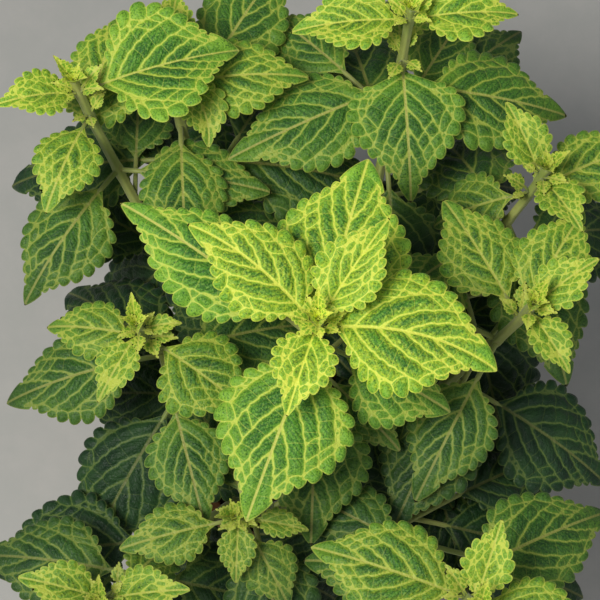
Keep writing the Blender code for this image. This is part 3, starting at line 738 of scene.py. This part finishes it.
UNDER_QUILT, UNDER_DROP, RIM_DROP = 0.2, 0.15, 0.1


def fine_margin(leaf, draw):
    """One side's outline from base to tip, and the notches between its lobes."""
    length = leaf["length"]
    count = round(LEAST_LOBES + length / LOBE_EVERY)
    last = draw.uniform(*LAST_LOBE)
    place = (np.arange(count) + 0.5) / count
    widths = (0.55 + 0.6 * np.sin(math.pi * place ** 0.8)) * draw.uniform(0.86, 1.14, count)
    x = np.linspace(LOBED_FROM, last, 160) * length
    y = blade_half(leaf, x) * (1 - TIP_TAPER * np.clip(x / length - 0.6, 0, 1) / 0.35)
    for _ in range(12):
        y[1:-1] = (y[:-2] + 2 * y[1:-1] + y[2:]) / 4
    reach = np.concatenate(([0], np.cumsum(np.hypot(np.diff(x), np.diff(y)))))
    slope = np.gradient(y, x)
    edges = reach[-1] * np.concatenate(([0], np.cumsum(widths) / widths.sum()))
    points = [(-BASE_BACK, BASE_HALF), (0.03 * length, blade_half(leaf, 0.03 * length) + 0.2)]
    notches = []
    for low, high in zip(edges, edges[1:]):
        depth = LOBE_DEPTH * (high - low) * draw.uniform(0.85, 1.15)
        for t in LOBE_STEPS:
            here = low + (t + LOBE_LEAN * math.sin(math.pi * t)) * (high - low)
            at_x, at_y, lean = (np.interp(here, reach, line) for line in (x, y, slope))
            out = np.array((-lean, 1.0)) / math.hypot(lean, 1.0)
            bulge = (1 - (2 * t - 1) ** 2) ** 0.72 - LOBE_INSIDE
            points.append(tuple(np.array((at_x, at_y)) + out * bulge * depth))
        notches.append(points[-len(LOBE_STEPS)])
    notches.append((x[-1], 0.92 * y[-1]))
    points.append(notches[-1])
    for share in TIP_STEPS:
        points.append((x[-1] + share * (length - x[-1]),
                       1.08 * y[-1] * (1 - share ** 1.35) ** 0.85 + 0.05))
    return points, [np.array(notch) for notch in notches]


def curve_between(start, control, end, step):
    """A curved line from start to end."""
    start, control, end = (np.array(p, float) for p in (start, control, end))
    count = max(2, math.ceil(np.linalg.norm(end - start) / step) + 1)
    t = np.linspace(0, 1, count)[:, None]
    return start * (1 - t) ** 2 + 2 * control * t * (1 - t) + end * t ** 2


def turned_from(start, end, angle):
    """The control point of a line that leaves start at an angle to its straight way to end."""
    x, y = (end - start) / 2
    angle = math.radians(angle)
    return start + (x * math.cos(angle) - y * math.sin(angle),
                    x * math.sin(angle) + y * math.cos(angle))


def girth(length):
    """How thick a leaf's veins are, as a share of a full-grown leaf's."""
    return min(1.0, 0.2 + length / 95)


def side_veins(leaf, notches, draw, step):
    """One side's main veins, each ending at a notch, as lines with the number of that notch."""
    length, most = leaf["length"], leaf["width"] / 2
    count = 3 + (length > 25) + (length > 50)
    found, taken = [], 0
    for k in np.linspace(0, len(VEIN_START) - 1, count):
        start, angle, limit = (np.interp(k, range(len(VEIN_START)), table)
                               for table in (VEIN_START, VEIN_ANGLE, VEIN_LIMIT))
        start = length * (start + draw.uniform(-0.012, 0.012))
        limit *= most * draw.uniform(0.95, 1.05)
        bend = limit / math.tan(math.radians(angle + draw.uniform(-3, 3)))
        x = np.linspace(start, length, 240)
        y = limit * (1 - np.exp(-(x - start) / bend))
        inside = int(np.argmax(y > VEIN_END * blade_half(leaf, x) - 0.3)) or len(x) - 1
        line = np.stack((x, y), axis=1)[:max(inside, 3)]
        ahead = [j for j, notch in enumerate(notches)
                 if j >= taken and notch[0] > line[-1][0] - 0.5 and 0 < j]
        goal = ahead[0] if ahead else len(notches) - 1
        taken = goal + 1
        way = line[-1] - line[-3]
        control = line[-1] + way / np.linalg.norm(way) * 0.4 * np.linalg.norm(
            notches[goal] - line[-1])
        line = np.concatenate((line, curve_between(line[-1], control, notches[goal], 1.0)[1:]))
        line = even_line(line[::4].tolist() + [line[-1].tolist()], step)
        share = np.linspace(0, 1, len(line))
        sway = sum(size * np.sin(2 * math.pi * (share * len(line) * step / wave + draw.uniform()))
                   for size, wave in VEIN_SWAYS)
        line[:, 1] += sway * np.sin(math.pi * share) * min(1.0, length / 70)
        found.append((line, goal))
    return found


def vein_lines(leaf, notches, draw, step):
    """One side's veins as (points, half-widths, main or not)."""
    length = leaf["length"]
    size = girth(length)
    mains = side_veins(leaf, notches, draw, step)
    lines = [(line, np.linspace(*MAIN_HALF, len(line)) * size, True) for line, _ in mains]
    rib = np.stack((np.arange(0.3 * length, 0.9 * length, step),) * 2, axis=1) * (1, 0)
    parents = [line[2:-2] for line, _ in mains] + [rib]
    spots = np.concatenate(parents)

    # A branch to every notch that no main vein reaches
    routes = {goal: line[::-1] for line, goal in mains}
    for j, notch in enumerate(notches):
        if j == 0 or j in routes:
            continue
        way = notch - spots
        away = np.hypot(way[:, 0], way[:, 1])
        turn = np.degrees(np.arctan2(way[:, 1], way[:, 0]))
        cost = away * (1 + 0.7 * ((turn - 50) / 38) ** 2) + 100 * (away < 1.5)
        best = int(np.argmin(cost))
        line = curve_between(spots[best], turned_from(spots[best], notch, draw.uniform(-16, -4)),
                             notch, step)
        lines.append((line, np.interp(np.linspace(0, 1, len(line)), (0, 0.55, 1),
                                      BRANCH_HALF) * size, True))
        routes[j] = line[::-1]

    # Links between neighbouring branches, in up to three rows behind the margin
    cells = []
    for j in range(1, len(notches)):
        line = routes[j]
        reach = reach_of(line)
        gap = np.linalg.norm(notches[j] - notches[j - 1])
        cells.append([line[min(np.searchsorted(reach, share * gap), len(line) - 1)]
                      if reach[-1] > (share - 0.25) * gap else None for share in LINK_AT])
        if reach[-1] < 0.8 * gap:
            cells[-1][0] = line[-1]
    first = notches[0] + (0.6, -0.25 * np.linalg.norm(notches[1] - notches[0]))
    cells.insert(0, [first, None, None])
    for row, half in enumerate(LINK_HALF):
        for j in range(len(cells) - 1):
            low, high = cells[j][row], cells[j + 1][row]
            if low is None or high is None or np.linalg.norm(high - low) < 1.2:
                continue
            taken = min(np.hypot(*(spots - (low + high) / 2).T))
            if row == 0 and taken < 0.8:
                continue
            bend = draw.uniform(-38, -16) if row == 0 else draw.uniform(-26, 6)
            line = curve_between(low, turned_from(low, high, bend), high, step)
            lines.append((line, np.full(len(line), half * size), True))

    # Fine rungs from each main vein to the one behind it, and from the midrib
    for k, inner in enumerate(parents[1:], 1):
        start = 4.5 if k < len(mains) else 1.0
        reach = reach_of(inner)
        here = start + draw.uniform(0, 2)
        while here < reach[-1] - 2:
            spot = inner[int(np.searchsorted(reach, here))]
            outer = parents[k - 1] if k < len(mains) else np.concatenate(parents[:-1])
            away = np.hypot(*(outer - spot).T)
            way = outer - spot
            turn = np.degrees(np.arctan2(way[:, 1], way[:, 0]))
            best = int(np.argmin(away * (1 + 0.4 * ((turn - 100) / 60) ** 2)))
            if 2.5 < away[best] < 22:
                line = curve_between(spot, turned_from(spot, outer[best], draw.uniform(-18, 12)),
                                     outer[best], step)
                outside = k < len(mains) and here > 0.45 * reach[-1]
                half = OUTER_RUNG_HALF if outside else RUNG_HALF
                lines.append((line, np.full(len(line), half * size), False))
            here += RUNG_GAP * draw.uniform(0.75, 1.2) * (0.7 if k == len(mains) else 1.0)
    return lines


def triangles(outline, lines, fill):
    """Triangles over a flat outline, whose points come first, with edges along the lines."""
    places = [Vector(p) for p in outline]
    edges = [(i, (i + 1) % len(outline)) for i in range(len(outline))]
    for line in lines:
        start = len(places)
        places += [Vector(p) for p in line]
        edges += [(i, i + 1) for i in range(start, len(places) - 1)]
    places += [Vector(p) for p in fill]
    points, _, faces, *_ = delaunay_2d_cdt(places, edges, [], 0, 0.02, False)
    points = np.array([tuple(p) for p in points])
    faces = np.array([tuple(face) for face in faces])
    faces = faces[inside_of(outline, points[faces].mean(axis=1))]
    return points, [tuple(face) for face in faces.tolist()]


def hex_fill(leaf, step, draw):
    """Points spread evenly inside the blade."""
    rows = int((leaf["width"] / 2 + 2) / (ROW_HEIGHT * step)) + 1
    found = [((column + 0.5 * (row % 2)) * step, ROW_HEIGHT * row * step)
             for row in range(-rows, rows + 1) for column in range(int(leaf["length"] / step) + 1)]
    return np.array(found) + draw.uniform(-0.15, 0.15, (len(found), 2)) * step


def inside_of(outline, points):
    """Which points lie inside a closed flat outline."""
    x, y = points[:, 0], points[:, 1]
    inside = np.zeros(len(points), bool)
    for (ax, ay), (bx, by) in zip(outline, np.roll(outline, -1, axis=0)):
        if ay != by:
            inside ^= ((ay > y) != (by > y)) & (x < (bx - ax) * (y - ay) / (by - ay) + ax)
    return inside


def tree_of(points):
    """Flat points, ready to be searched for the nearest one."""
    tree = KDTree(len(points))
    for i, (x, y) in enumerate(points):
        tree.insert((x, y, 0), i)
    tree.balance()
    return tree


def dense(lines):
    """Close-set points and half-widths along vein lines."""
    places, halves = [], []
    for line, half, _ in lines:
        for i in range(len(line) - 1):
            count = max(1, math.ceil(np.linalg.norm(line[i + 1] - line[i]) / 0.25))
            for j in range(count):
                places.append(line[i] + (line[i + 1] - line[i]) * j / count)
                halves.append(half[i] + (half[i + 1] - half[i]) * j / count)
        places.append(line[-1])
        halves.append(half[-1])
    return places, halves


def nearest(tree, halves, points):
    """Distances from points to the nearest vein, in millimetres and in its half-widths."""
    found = [tree.find((x, y, 0)) for x, y in points]
    away = np.array([distance for _, _, distance in found])
    return away, away / np.array([halves[index] for _, index, _ in found])


def distances(tree, points):
    return np.array([tree.find((x, y, 0))[2] for x, y in points])


def blade(leaf, number):
    """A leaf blade: a closed thin shell with a fine upper side and a plainer underside."""
    draw = np.random.default_rng((SEED, number))
    length = leaf["length"]
    sides = {side: fine_margin(leaf, draw) for side in (1, -1)}
    outline = np.array(sides[1][0] + [(length, 0.0)]
                       + [(x, -y) for x, y in reversed(sides[-1][0])])
    step = FILL_STEP if length > 30 else SMALL_FILL_STEP
    rib = even_line([(-BASE_BACK, 0.0), (length * 0.975, 0.0)], step)
    rib_half = np.interp(rib[:, 0] / length, (0, 0.6, 1), RIB_HALF) * girth(length)
    lines = [(rib, rib_half, True)]
    for side in (1, -1):
        for line, half, main in vein_lines(leaf, sides[side][1], draw, step):
            lines.append((line * (1, side), half, main))
    main_tree_points, main_halves = dense([each for each in lines if each[2]])
    main_tree = tree_of(main_tree_points)
    net_points, net_halves = dense([each for each in lines if not each[2]] or lines)
    net_tree = tree_of(net_points)
    edge_tree = tree_of(even_line(np.vstack((outline, outline[:1])), 0.4))

    def filled(step, veins):
        fill = hex_fill(leaf, step, draw)
        fill = fill[inside_of(outline, fill)]
        fill = fill[distances(edge_tree, fill) > 0.5 * step]
        if veins and len(fill):
            away = np.minimum(nearest(main_tree, main_halves, fill)[0],
                              nearest(net_tree, net_halves, fill)[0])
            fill = fill[away > 0.55 * step]
        return list(fill)

    flat, top = triangles(outline, [line for line, _, _ in lines], filled(step, True))
    under_lines = [even_line([(0.5, 0.0), (length * 0.97, 0.0)], UNDER_STEP)]
    low_flat, low = triangles(outline, under_lines, filled(UNDER_STEP, False))
    rim = len(outline)
    flat = np.concatenate((flat, low_flat[rim:]))
    shift = len(flat) - len(low_flat)
    faces = top + [tuple(i if i < rim else i + shift for i in reversed(face)) for face in low]
    under = np.zeros(len(flat))
    under[len(flat) - (len(low_flat) - rim):] = 1.0

    main_away, main_share = nearest(main_tree, main_halves, flat)
    net_away, net_share = nearest(net_tree, net_halves, flat)
    edge = distances(edge_tree, flat)
    size = min(1.0, 0.25 + length / 80)
    quilt = QUILT * size * (1 - np.exp(-(main_away / QUILT_REACH) ** 1.25))
    pucker = PUCKER * (1 - np.exp(-(net_away / PUCKER_REACH) ** 1.4))
    calm = 1 - np.exp(-(edge / CALM_REACH) ** 1.3)
    height = np.where(under > 0, UNDER_QUILT * quilt * calm - BLADE_THICK - UNDER_DROP * calm,
                      quilt * (0.6 + pucker) * calm + BLADE_THICK * 0.15)
    height[:rim] = -RIM_DROP
    points, normals = spread(leaf, flat[:, 0], flat[:, 1])
    points = points + normals * height[:, None]
    fields = dict(rib=main_share, net=net_share, gap=main_away, rim=edge, under=under,
                  far=flat[:, 0] / length)
    return points, faces, fields, flat, rim


def leaf_material():
    leaf = Material("coleus_leaf")
    flat = leaf.attribute("flat", "Vector")
    rib, net, gap, rim, under, age, shade, far = (leaf.attribute(name) for name in (
        "rib", "net", "gap", "rim", "under", "age", "shade", "far"))
    clouds = leaf.noise_of(flat, 0.07, 3.0, 0.5)
    flecks = leaf.noise_of(flat, 0.62, 4.0, 0.62)
    grit = leaf.noise_of(flat, 1.15, 3.0, 0.7)
    cells = leaf.put("ShaderNodeTexVoronoi", {"Vector": flat, "Scale": 0.5, "Randomness": 0.9},
                  feature="DISTANCE_TO_EDGE").outputs["Distance"]

    # Grown leaves: bluish green by the rib, yellower to the margin, partly their own two tones
    # and partly painted shade by the rib, where the leaves above shade it
    colour = leaf.blend(leaf.ramp(clouds, 0.35, 0.65), (0.066, 0.245, 0.022), (0.140, 0.410, 0.032))
    outer = leaf.blend(leaf.ramp(clouds, 0.3, 0.7), (0.190, 0.480, 0.036), (0.330, 0.640, 0.048))
    colour = leaf.blend(leaf.ramp(rim, 14.0, 1.0), colour, outer)

    # Young leaves: lime that spreads from the veins, mottled with green
    lime = leaf.blend(leaf.ramp(flecks, 0.35, 0.7), (0.20, 0.42, 0.022), (0.66, 0.84, 0.048))
    spill = leaf.times_plus(age, 1.9, leaf.times(flecks, 1.6))
    spill = leaf.maths("SUBTRACT", spill, leaf.times(gap, 0.5))
    spill = leaf.maths("SUBTRACT", spill, leaf.times(far, 1.1))
    young = leaf.times(leaf.ramp(spill, 0.15, 1.35), leaf.ramp(age, 0.05, 0.5))
    colour = leaf.blend(young, colour, lime)

    # Fine slanting veinlets of the long cells by the midrib, sunk, with painted shade in them
    parts = leaf.put("ShaderNodeSeparateXYZ", {"Vector": flat}).outputs
    off_rib = leaf.maths("ABSOLUTE", parts["Y"])
    lean = leaf.times_plus(off_rib, -0.57, leaf.times(parts["X"], 0.82))
    lean = leaf.times_plus(flecks, 2.2, lean)
    comb = leaf.ramp(leaf.maths("SINE", leaf.times(lean, 2.9)), -0.1, 0.9)
    comb = leaf.times(leaf.times(comb, leaf.ramp(rim, 4.0, 10.0)), leaf.ramp(gap, 0.3, 1.1))
    colour = leaf.blend(leaf.times(comb, 0.42), colour, (0.016, 0.085, 0.014))
    # Fine mottling: pale hairs and painted highlight on raised grit, painted shade in its pits
    hairs_and_painted_highlight = leaf.times(leaf.ramp(grit, 0.50, 0.66), 0.55)
    painted_pit_shade = leaf.times(leaf.ramp(grit, 0.50, 0.34), 0.80)
    colour = leaf.blend(hairs_and_painted_highlight, colour, (0.40, 0.64, 0.09))
    colour = leaf.blend(painted_pit_shade, colour, (0.020, 0.100, 0.014))

    # Painted shade: leaves lower on the plant are painted darker and bluer
    painted_shade_green = leaf.blend(leaf.ramp(clouds, 0.3, 0.7), (0.007, 0.032, 0.011), (0.020, 0.066, 0.016))
    colour = leaf.blend(shade, colour, painted_shade_green)

    # Veins: a soft glow, cross veins, the pale rim, main veins and the tan midrib
    # Halo, veins and midrib are painted darker with the painted shade of the lower leaves
    lighter = leaf.blend(shade, (0.32, 0.62, 0.045), (0.05, 0.13, 0.022))
    halo = leaf.times(leaf.ramp(gap, 1.5, 0.3), leaf.times_plus(age, 0.25, 0.34))
    colour = leaf.blend(halo, colour, lighter)
    vein = leaf.blend(age, (0.68, 0.82, 0.12), (0.92, 0.98, 0.12))
    vein = leaf.blend(shade, vein, (0.12, 0.18, 0.04))
    for near, edge, core, share in ((net, 1.8, 0.6, 0.34), (rim, 0.85, 0.1, 0.62),
                                    (rib, 1.75, 0.55, 0.86)):
        colour = leaf.blend(leaf.times(leaf.ramp(near, edge, core), share), colour, vein)
    tan = leaf.blend(age, leaf.blend(shade, (0.76, 0.70, 0.20), (0.15, 0.16, 0.05)), vein)
    colour = leaf.blend(leaf.times(leaf.ramp(off_rib, 0.8, 0.45), 0.75), colour, tan)
    pale = leaf.blend(leaf.ramp(rib, 1.4, 0.8), (0.15, 0.26, 0.06), (0.42, 0.46, 0.2))
    colour = leaf.blend(under, colour, pale)

    # Fine relief: small blisters between the finest veinlets, and grit
    relief = leaf.maths("MINIMUM", leaf.times(cells, 2.2), 0.6)
    for part, share in ((flecks, 0.5), (grit, 0.6), (comb, -0.7)):
        relief = leaf.times_plus(part, share, relief)
    return leaf.finish({
        "Base Color": colour, "Roughness": leaf.ramp(flecks, 0.3, 0.7, 0.60, 0.44),
        "Normal": leaf.bump(relief, 0.7, 0.0004), "Specular IOR Level": 0.35, "Sheen Weight": 0.06,
        "Sheen Roughness": 0.4, "Subsurface Weight": 0.10, "Subsurface Scale": 1.0,
        "Subsurface Radius": (0.0012, 0.0016, 0.0005)})


# Tiny leaves of a growing tip: turn from the pair above, share of the youngest size, and pitch
TIP_LEAVES = ((90, 0.7, 66), (45, 0.5, 76), (0, 0.35, 84))
CORNER_TURNS = (-32, 30)


def small_leaves():
    """The tiny leaves of the growing tips, and those in the corners of the upper leaves."""
    draw = np.random.default_rng(SEED + 1)
    found = []
    for leaf in leaves:
        if leaf["pair"] == 0:
            for turn, size, pitch in TIP_LEAVES:
                found.append(dict(leaf, azimuth=leaf["azimuth"] + turn, length=size * 15,
                                  width=size * 9, petiole=1.5, pitch=pitch, droop=24, curl=20,
                                  fold=34))
        elif leaf["pair"] < 3:
            for turn in CORNER_TURNS:
                size = draw.uniform(9, 16) * min(1.0, 0.4 + leaf["length"] / 100)
                found.append(dict(
                    leaf, pair=1, root=leaf["root"] + np.array((0, 0, 1.6)), length=size,
                    azimuth=leaf["azimuth"] + turn + draw.uniform(-9, 9), width=0.62 * size,
                    petiole=draw.uniform(3, 6), pitch=draw.uniform(40, 58), droop=46, sweep=0,
                    curl=24, fold=24, belly=1.0, wave=0.2))
    return found


leaves += small_leaves()

# How young each pair's leaves look, from the tip down, and single leaves by stem, pair and side
AGE_OF_PAIR = (1.0, 0.95, 0.85, 0.42, 0.2, 0.1, 0.0, 0.0)
OUTER_AGE = 0.7
YOUNG = {("shoot_centre", 1, 0): 0.85, ("shoot_centre", 3, 0): 0.75, ("shoot_centre", 3, 1): 0.38,
         ("shoot_back_left", 1, 0): 0.35, ("shoot_back", 2, 0): 0.2, ("shoot_back", 3, 0): 0.12}
# Painted shade: leaves darken from the lit depth below the plant's top, fully at the shade depth
# below that
PLANT_TOP, LIT_DEPTH, SHADE_DEPTH = 298.0, 12, 88
PATTERN_STEP = 17.0


def store(piece, name, kind, values, domain="POINT"):
    """A named value for each point or edge of a piece."""
    made = piece.data.attributes.new(name, kind, domain)
    made.data.foreach_set("vector" if kind == "FLOAT_VECTOR" else "value", values)


leaf_green = leaf_material()
for stem_name in STEMS:
    points, faces, flats, sharp = [], [], [], set()
    values = {key: [] for key in ("rib", "net", "gap", "rim", "under", "far", "age", "shade")}
    for number, leaf in enumerate(leaves):
        if leaf["stem"] != stem_name:
            continue
        blade_points, blade_faces, fields, flat, rim = blade(leaf, number)
        start = sum(len(p) for p in points)
        points.append(blade_points)
        faces += [tuple(start + i for i in face) for face in blade_faces]
        sharp |= {(start + i, start + (i + 1) % rim) for i in range(rim)}
        flats.append(np.column_stack((flat, np.full(len(flat), PATTERN_STEP * number))))
        young = YOUNG.get((stem_name, leaf["pair"], leaf["side"]), AGE_OF_PAIR[leaf["pair"]] * (
            1.0 if stem_name == "shoot_centre" else OUTER_AGE))
        fields["age"] = np.full(len(blade_points), young)
        # The painted shade: the lower the point, the darker its leaf is painted
        fields["shade"] = np.clip((PLANT_TOP - LIT_DEPTH - blade_points[:, 2]) / SHADE_DEPTH, 0, 1)
        for key, value in fields.items():
            values[key].append(value)
    piece = mesh_piece("leaves_" + stem_name, np.concatenate(points), faces, [leaf_green])
    for key, value in values.items():
        store(piece, key, "FLOAT", np.concatenate(value).astype(np.float32))
    store(piece, "flat", "FLOAT_VECTOR", np.concatenate(flats).astype(np.float32).ravel())
    ends = np.empty(2 * len(piece.data.edges), int)
    piece.data.edges.foreach_get("vertices", ends)
    store(piece, "sharp_edge", "BOOLEAN", [(a, b) in sharp or (b, a) in sharp
                                           for a, b in ends.reshape(-1, 2).tolist()], "EDGE")
    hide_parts(stem_name)
    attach(piece, "root")

# Stems and leaf stalks
# Square, soft and finely haired, yellow-green, with a swelling at each node. Every leaf stalk
# grows out of a node and runs on under the blade as its midrib.

STEM_SIDES, STEM_STEP = 24, 2.0
NODE_SWELL, NODE_REACH = 0.16, 3.0
STALK_SIDES, STALK_STEP = 10, 2.4
STALK_RADIUS, STALK_END = 1.25, 0.86


def sweep(centres, across, up, radii, sides, shape):
    """A tube through the centres; shape gives each ring's radius factor by angle and place."""
    turn = np.linspace(0, 2 * math.pi, sides, endpoint=False)
    points = []
    for k, centre in enumerate(centres):
        ring = radii[k] * shape(turn, k)
        points.append(centre + np.outer(ring * np.cos(turn), across[k])
                      + np.outer(ring * np.sin(turn), up[k]))
    last = (len(centres) - 1) * sides
    ends = [tuple(range(sides - 1, -1, -1)), tuple(range(last, last + sides))]
    return np.concatenate(points), ring_faces(len(centres), sides) + ends


def stem_tube(stem):
    line = stem_line(stem)
    reach = reach_of(line)
    here = np.linspace(0, reach[-1], int(reach[-1] / STEM_STEP))
    centres = points_at(here, reach, line)
    for _ in range(6):
        centres[1:-1] = (centres[:-2] + 2 * centres[1:-1] + centres[2:]) / 4
    ahead = np.gradient(centres, axis=0)
    ahead /= np.linalg.norm(ahead, axis=1)[:, None]
    side = np.cross(ahead, (0, 1, 0))
    side /= np.linalg.norm(side, axis=1)[:, None]
    up = np.cross(side, ahead)
    below = reach[-1] - here
    radii = STEM_FOOT_RADIUS + (STEM_TIP_RADIUS - STEM_FOOT_RADIUS) * here / reach[-1]
    for drop in stem["drops"]:
        radii = radii * (1 + NODE_SWELL * np.exp(-((below - drop) / NODE_REACH) ** 2))
    corner = math.radians(stem["turn"])

    def square(turn, k):
        return 0.90 + 0.10 * np.cos(4 * (turn - corner)) + 0.012 * np.sin(9 * turn + k)

    return sweep(centres, side, up, radii, STEM_SIDES, square)


def stalk_tube(leaf):
    """A leaf's stalk, which goes on under the blade as its midrib."""
    total = leaf["petiole"] + STALK_END * leaf["length"]
    here = np.linspace(0, total, max(6, int(total / STALK_STEP)))
    x = here - leaf["petiole"]
    centres, up = spread(leaf, x, 0 * x)
    arc, _, left, _ = rib_frame(leaf)
    across = points_at(here, arc, left)
    size = min(1.0, 0.3 + leaf["length"] / 90)
    radii = size * np.interp(x / leaf["length"], (-0.3, 0.0, 0.12, STALK_END),
                             (1.15 * STALK_RADIUS, STALK_RADIUS, 0.85 * STALK_RADIUS, 0.22))
    under = np.clip((x + 2.0) / 5.0, 0, 1)
    centres = centres - up * (under * (radii + 0.1))[:, None]

    def grooved(turn, k):
        return 1 - 0.2 * (1 - under[k]) * np.exp(-((turn - math.pi / 2) / 0.5) ** 2)

    return sweep(centres, across, up, radii, STALK_SIDES, grooved)


def stem_material():
    stem = Material("coleus_stem")
    streaks = stem.noise_of(stem.place, 300.0, 4.0)
    patches = stem.noise_of(stem.place, 40.0, 3.0)
    colour = stem.blend(stem.ramp(patches, 0.35, 0.65), (0.23, 0.30, 0.06), (0.36, 0.40, 0.10))
    colour = stem.blend(stem.ramp(streaks, 0.55, 0.8, 0.0, 0.5), colour, (0.24, 0.17, 0.06))
    return stem.finish({
        "Base Color": colour, "Roughness": stem.ramp(streaks, 0.3, 0.7, 0.6, 0.45),
        "Normal": stem.bump(streaks, 0.4, 0.0003), "Sheen Weight": 0.25, "Subsurface Weight": 0.1,
        "Subsurface Scale": 1.0, "Subsurface Radius": (0.0012, 0.0014, 0.0004)})


stem_green = stem_material()
for stem_name, stem in STEMS.items():
    points, faces = [], []
    for more_points, more_faces in [stem_tube(stem)] + [
            stalk_tube(leaf) for leaf in leaves if leaf["stem"] == stem_name]:
        start = sum(len(p) for p in points)
        points.append(more_points)
        faces += [tuple(start + i for i in face) for face in more_faces]
    piece = mesh_piece("stem_" + stem_name, np.concatenate(points), faces, [stem_green])
    outward(piece)
    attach(piece, "root")

# The studio
# A pale floor, one wide soft light above and a dim even sky. The camera looks down on the centre
# shoot as the photograph does.

FLOOR_HALF = 4000.0
FOCUS = (-8.1, 8.6, 298.0)
DISTANCE, ELEVATION = 900.0, 70.0
LENS, SENSOR = 120.0, 36.0
SKY_COLOUR, SKY_STRENGTH = (0.92, 0.96, 1.0, 1.0), 0.2
# Each light, in metres and watts: place, size, power and colour
LIGHTS = {"softbox": ((-0.65, -0.35, 1.6), 0.7, 18.5, (1.0, 0.98, 0.92)),
          "fill": ((0.9, -1.1, 0.9), 0.9, 2.5, (1.0, 1.0, 1.0))}
LIGHTS_AIM = (0, 0, 0.2)


def floor_material():
    floor = Material("pale_floor")
    grit = floor.put("ShaderNodeGroup", {"Vector": floor.place, "Scale": 30.0},
                     node_tree=grain).outputs
    colour = floor.blend(grit["Mask"], (0.50, 0.50, 0.48), (0.54, 0.53, 0.51))
    return floor.finish({"Base Color": colour, "Roughness": 0.85})


floor = mesh_piece("floor", [(x * FLOOR_HALF, y * FLOOR_HALF, 0) for x, y in (
    (-1, -1), (1, -1), (1, 1), (-1, 1))], [(0, 1, 2, 3)], [floor_material()], smooth=False)

world = bpy.data.worlds.new("studio_sky")
world.use_nodes = True
sky = world.node_tree.nodes["Background"].inputs
sky["Color"].default_value, sky["Strength"].default_value = SKY_COLOUR, SKY_STRENGTH
bpy.context.scene.world = world
bpy.context.scene.view_settings.view_transform = "Standard"

for name, (place, size, power, colour) in LIGHTS.items():
    data = bpy.data.lights.new(name, "AREA")
    data.shape, data.size, data.energy, data.color = "DISK", size, power, colour
    light = bpy.data.objects.new(name, data)
    light.location = place
    light.rotation_euler = (Vector(LIGHTS_AIM) - Vector(place)).to_track_quat("-Z", "Y").to_euler()
    bpy.context.scene.collection.objects.link(light)

camera_data = bpy.data.cameras.new("camera")
camera_data.lens, camera_data.sensor_width = LENS, SENSOR
camera = bpy.data.objects.new("camera", camera_data)
tilt = math.radians(ELEVATION)
camera.location = [MM * value for value in (
    FOCUS[0], FOCUS[1] - DISTANCE * math.cos(tilt), FOCUS[2] + DISTANCE * math.sin(tilt))]
camera.rotation_euler = (math.pi / 2 - tilt, 0, 0)
bpy.context.scene.collection.objects.link(camera)
bpy.context.scene.camera = camera
